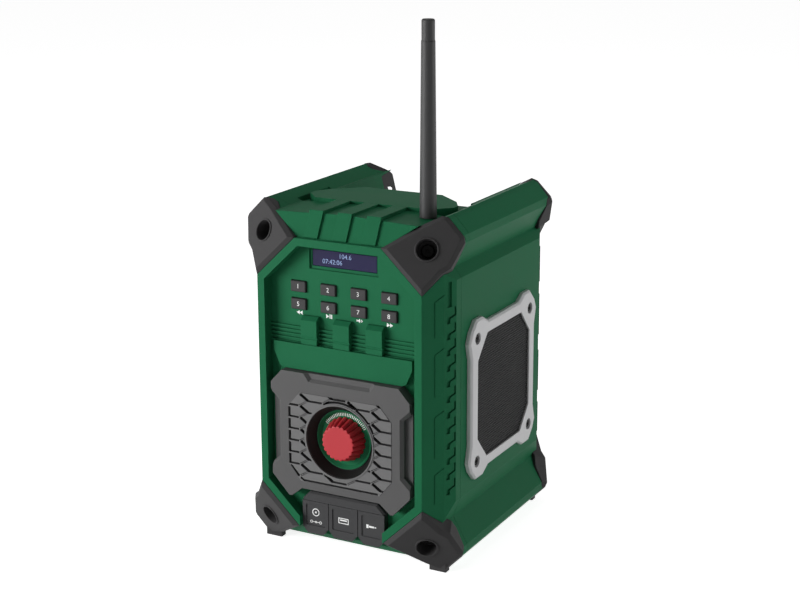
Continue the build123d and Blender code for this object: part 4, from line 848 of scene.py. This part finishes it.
def trim_to_opening(sheet, face, middle):
    """Cut a sheet to the eight-sided opening, with a lip to spare."""
    half_y, half_z = OPENING[1][0] + LIP, OPENING[0][1] + LIP
    cut_y, cut_z = OPENING[0][0] + LIP / 2, OPENING[1][1] + LIP / 2
    run_y, run_z = half_y - cut_y, half_z - cut_z
    planes = []
    for up in (-1, 1):
        planes.append((0, up * half_z, 0, up))
    for along in (-1, 1):
        planes.append((along * half_y, 0, along, 0))
        planes.extend((along * half_y, up * cut_z, along * run_z, up * run_y) for up in (-1, 1))
    bpy.ops.object.mode_set(mode="EDIT")
    for place_y, place_z, normal_y, normal_z in planes:
        bpy.ops.mesh.select_all(action="SELECT")
        bpy.ops.mesh.bisect(plane_co=(face, middle.y + place_y * MM, middle.z + place_z * MM),
                            plane_no=Vector((0, normal_y, normal_z)).normalized(),
                            clear_outer=True, clear_inner=False)
    bpy.ops.object.mode_set(mode="OBJECT")


def speaker_plate(side, sign):
    """Perforated sheet in the opening of one speaker frame."""
    face, middle = outer_face(side, sign)
    low_corner, high_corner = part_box(f"speaker_grille_{side}")
    columns = math.ceil((high_corner.y - low_corner.y) / MM / HOLE_PITCH) + 1
    rows = math.ceil((high_corner.z - low_corner.z) / MM / (3 * HOLE_RADIUS)) + 1
    sheet = perforated(columns, rows)
    start = Vector((middle.y - columns * HOLE_PITCH / 2 * MM,
                    middle.z - rows * 1.5 * HOLE_RADIUS * MM))
    for vertex in sheet.data.vertices:
        across, up = vertex.co.x, vertex.co.y
        vertex.co = (face - sign * SHEET_BACK * MM, start.x + across, start.y + up)
    trim_to_opening(sheet, face, middle)
    sheet.name = f"speaker_mesh_{side}"
    thick = sheet.modifiers.new("thick", "SOLIDIFY")
    thick.thickness = SHEET_THICKNESS * MM
    thick.offset = 0.0
    bpy.ops.object.modifier_apply(modifier="thick")
    finish_piece(sheet, body_of[f"speaker_grille_{side}"], dark_mesh,
                 (f"speaker_grille_{side}",))


# %% [markdown]
# ## The shade sheets
#
# Behind the holes it is dark: a thin black sheet stands there as painted shade, the shadow
# inside the speaker. It has the outline of the opening, so it is a simple pushed outline.

# %% Painted shade behind the speaker holes
SHADE_SHEET_GAP, SHADE_SHEET_THICKNESS = 1.0, 0.3


def speaker_shade_sheet(side, sign):
    """Thin black sheet behind a perforated plate: painted shade for the dark inside of the
    speaker.
    """
    face, middle = outer_face(side, sign)
    quarter = [OPENING[0], OPENING[1], (OPENING[1][0], -OPENING[1][1]),
               (OPENING[0][0], -OPENING[0][1])]
    outline = quarter + [(-y, z) for y, z in reversed(quarter)]
    corners = [(face - sign * SHADE_SHEET_GAP * MM, middle.y + y * MM, middle.z + z * MM)
               for y, z in outline]
    shade_sheet = pushed(f"speaker_shade_sheet_{side}", corners, (-sign * SHADE_SHEET_THICKNESS * MM, 0, 0))
    finish_piece(shade_sheet, body_of[f"speaker_grille_{side}"], black)


for side, sign in (("left", -1), ("right", 1)):
    speaker_plate(side, sign)
    speaker_shade_sheet(side, sign)

# %% [markdown]
# ## Printed marks
#
# Print is a skin of paint a few hundredths of a millimetre thick. It could be painted by a
# texture, but a thin solid stays crisp from close by and needs no picture. We keep the marks
# plain: the keys carry the numbers one to eight.

# %% Numbers on the keys
PRINT = 0.05
DIGIT_SIZE = 5.0


def printed(name, outlines, face, body):
    """Thin skins of white ink with the given front-view outlines on a face at a set-back."""
    skins = [prism(name, outline, face + PRINT, face - PRINT) for outline in outlines]
    finish_piece(joined(skins, name), body, ink)


def number(name, text, place, face, body, material=ink):
    """Plain digits printed round a front-view place."""
    bpy.ops.object.select_all(action="DESELECT")
    bpy.ops.object.text_add()
    letters = bpy.context.object
    letters.name = name
    letters.data.body = text
    letters.data.align_x = "CENTER"
    letters.data.align_y = "CENTER"
    letters.data.size = DIGIT_SIZE * MM
    letters.data.extrude = PRINT * MM
    letters.data.resolution_u = 3
    bpy.ops.object.convert(target="MESH")
    letters = bpy.context.object
    letters.location = (place[0] * MM, depth(face), place[1] * MM)
    letters.rotation_euler = (math.pi / 2, 0, 0)
    bpy.ops.object.transform_apply(location=True, rotation=True, scale=True)
    finish_piece(letters, body, material)


for index, node in enumerate(keys):
    low_corner, high_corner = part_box(node)
    middle = (low_corner + high_corner) / 2 / MM
    number(f"number_{index + 1}", str(index + 1), (middle.x, middle.z),
           set_back_of(low_corner.y), body_of[node])

# %% [markdown]
# ## The signs under the keys
#
# The lower row of keys has the usual signs of a music player: back, play and pause, louder,
# and next. They are triangles and bars, so two small functions draw all of them.

# %% Signs under the keys
ICON_HEIGHT, ICON_PLACES = 192.0, (-38.85, -12.95, 12.95, 38.85)
ARROW_WIDTH, ARROW_HEIGHT = 2.6, 3.3
PLAY_SHIFT, PAUSE_PLACES, PAUSE_WIDTH = -1.4, (0.7, 2.1), 0.8
HORN_SHIFT, HORN_WIDTH = -0.5, 2.0
MAGNET_SHIFT, MAGNET_WIDTH, MAGNET_HEIGHT = -1.9, 1.0, 1.5
PLUS_SHIFT, PLUS_LENGTH, PLUS_WIDTH = 1.9, 2.2, 0.7
HOUSING_BODY = body_of["front_housing"]


def arrow(x, z, width, height):
    """Triangle that points to the right, or to the left with a negative width."""
    return [(x - width / 2, z - height / 2), (x + width / 2, z), (x - width / 2, z + height / 2)]


def bar(x, z, width, height):
    """Rectangle round a place."""
    return [(x - width / 2, z - height / 2), (x + width / 2, z - height / 2),
            (x + width / 2, z + height / 2), (x - width / 2, z + height / 2)]


def double_arrow(x, width):
    """Two arrows side by side."""
    return [arrow(x + place * ARROW_WIDTH / 2, ICON_HEIGHT, width, ARROW_HEIGHT)
            for place in (-1, 1)]


back_x, play_x, sound_x, next_x = ICON_PLACES
signs = {
    "mark_back": double_arrow(back_x, -ARROW_WIDTH),
    "mark_play": [arrow(play_x + PLAY_SHIFT, ICON_HEIGHT, ARROW_WIDTH, ARROW_HEIGHT)]
                 + [bar(play_x + place, ICON_HEIGHT, PAUSE_WIDTH, ARROW_HEIGHT)
                    for place in PAUSE_PLACES],
    "mark_sound": [bar(sound_x + MAGNET_SHIFT, ICON_HEIGHT, MAGNET_WIDTH, MAGNET_HEIGHT),
                   arrow(sound_x + HORN_SHIFT, ICON_HEIGHT, -HORN_WIDTH, ARROW_HEIGHT),
                   bar(sound_x + PLUS_SHIFT, ICON_HEIGHT, PLUS_LENGTH, PLUS_WIDTH),
                   bar(sound_x + PLUS_SHIFT, ICON_HEIGHT, PLUS_WIDTH, PLUS_LENGTH)],
    "mark_next": double_arrow(next_x, ARROW_WIDTH),
}
for name, shapes in signs.items():
    printed(name, shapes, PANEL_BACK, HOUSING_BODY)

# %% [markdown]
# ## The scale of the dial and the display
#
# Short strokes stand like rays over the knob, set out by one loop over their angles. The
# display shows plain digits, a frequency and a time, in a pale blue of their own.

# %% Scale of the dial
TICK_COUNT, TICK_FROM, TICK_TO = 27, -57.0, 58.0
TICK_INNER, TICK_OUTER, TICK_WIDTH = 18.2, 21.4, 0.58
ticks = []
for index in range(TICK_COUNT):
    angle = math.radians(TICK_FROM + (TICK_TO - TICK_FROM) * index / (TICK_COUNT - 1))
    way = Vector((math.sin(angle), math.cos(angle)))
    across = Vector((way.y, -way.x)) * TICK_WIDTH / 2
    centre = Vector((0, DIAL_HEIGHT))
    inner, outer = centre + way * TICK_INNER, centre + way * TICK_OUTER
    ticks.append([tuple(inner - across), tuple(inner + across),
                  tuple(outer + across), tuple(outer - across)])
printed("dial_scale", ticks, PANEL_BACK, HOUSING_BODY)

# %% Numbers of the display
DISPLAY_LIT = [("104.6", (0.5, 238.8)), ("07:42:06", (-10.5, 233.8))]
window_face = set_back_of(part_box("display_window")[0].y)
for index, (text, place) in enumerate(DISPLAY_LIT):
    number(f"display_line_{index + 1}", text, place, window_face, HOUSING_BODY, pale_blue)

# %% [markdown]
# ## The marks on the socket covers
#
# Each rubber cover has a plain picture of what is behind it, printed in the shallow recess
# of its face: the round power socket over its row of poles, the flat mouth of the charging
# socket, and the plug of an audio lead. Each picture is a list of bars and rings.

# %% Marks of the sockets on their covers
LABEL_DEPTH, LABEL_MIDDLE = 0.7, 32.0
SOCKET_UP, SOCKET_RADIUS, SOCKET_LINE, SOCKET_PIN = 2.5, 3.2, 0.7, 1.5
POLES_DOWN, POLES_APART, POLE_RADIUS, POLE_LINE, POLE_SIDES = 5.5, 4.0, 1.2, 0.5, 12
LEAD_LENGTH, LEAD_MIDDLE = 5.6, 1.6
MOUTH_WIDTH, MOUTH_HEIGHT, MOUTH_LINE = 9.0, 4.0, 0.7
TONGUE_UP, TONGUE_WIDTH, TONGUE_HEIGHT = 0.45, 6.0, 1.1
PLUG_BARS = [(0.0, 4.6, 1.5), (3.3, 1.3, 1.0), (-3.6, 1.9, 3.0)]


def ring_mark(x, z, radius, width, count=24):
    """Short bars that stand in a circle and read as a ring."""
    marks = []
    for i in range(count):
        start, end = (2 * math.pi * j / count for j in (i, i + 1))
        marks.append([(x + r * math.cos(a), z + r * math.sin(a))
                      for r, a in ((radius, start), (radius, end),
                                   (radius - width, end), (radius - width, start))])
    return marks


def power_mark(x, z):
    """Round socket with its pin, over two poles joined by a line."""
    low = z - POLES_DOWN
    return (ring_mark(x, z + SOCKET_UP, SOCKET_RADIUS, SOCKET_LINE)
            + [bar(x, z + SOCKET_UP, SOCKET_PIN, SOCKET_PIN)]
            + ring_mark(x - POLES_APART, low, POLE_RADIUS, POLE_LINE, POLE_SIDES)
            + ring_mark(x + POLES_APART, low, POLE_RADIUS, POLE_LINE, POLE_SIDES)
            + [bar(x, low, LEAD_LENGTH, POLE_LINE), bar(x, low, LEAD_MIDDLE, LEAD_MIDDLE)])


def charging_mark(x, z):
    """Flat mouth of a socket with its tongue."""
    side = (MOUTH_WIDTH - MOUTH_LINE) / 2
    return [bar(x, z + MOUTH_HEIGHT / 2, MOUTH_WIDTH, MOUTH_LINE),
            bar(x, z - MOUTH_HEIGHT / 2, MOUTH_WIDTH, MOUTH_LINE),
            bar(x - side, z, MOUTH_LINE, MOUTH_HEIGHT - MOUTH_LINE),
            bar(x + side, z, MOUTH_LINE, MOUTH_HEIGHT - MOUTH_LINE),
            bar(x, z + TONGUE_UP, TONGUE_WIDTH, TONGUE_HEIGHT)]


def audio_mark(x, z):
    """Plug of an audio lead that points to the right: body, tip and grip."""
    return [bar(x + shift, z, width, height) for shift, width, height in PLUG_BARS]


for node, shapes in (("dc_cover", power_mark), ("usb_cover", charging_mark),
                     ("aux_cover", audio_mark)):
    low_corner, high_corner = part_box(node)
    middle = (low_corner + high_corner) / 2 / MM
    face = set_back_of(low_corner.y) + LABEL_DEPTH
    printed(node.replace("cover", "mark"), shapes(middle.x, LABEL_MIDDLE), face, body_of[node])
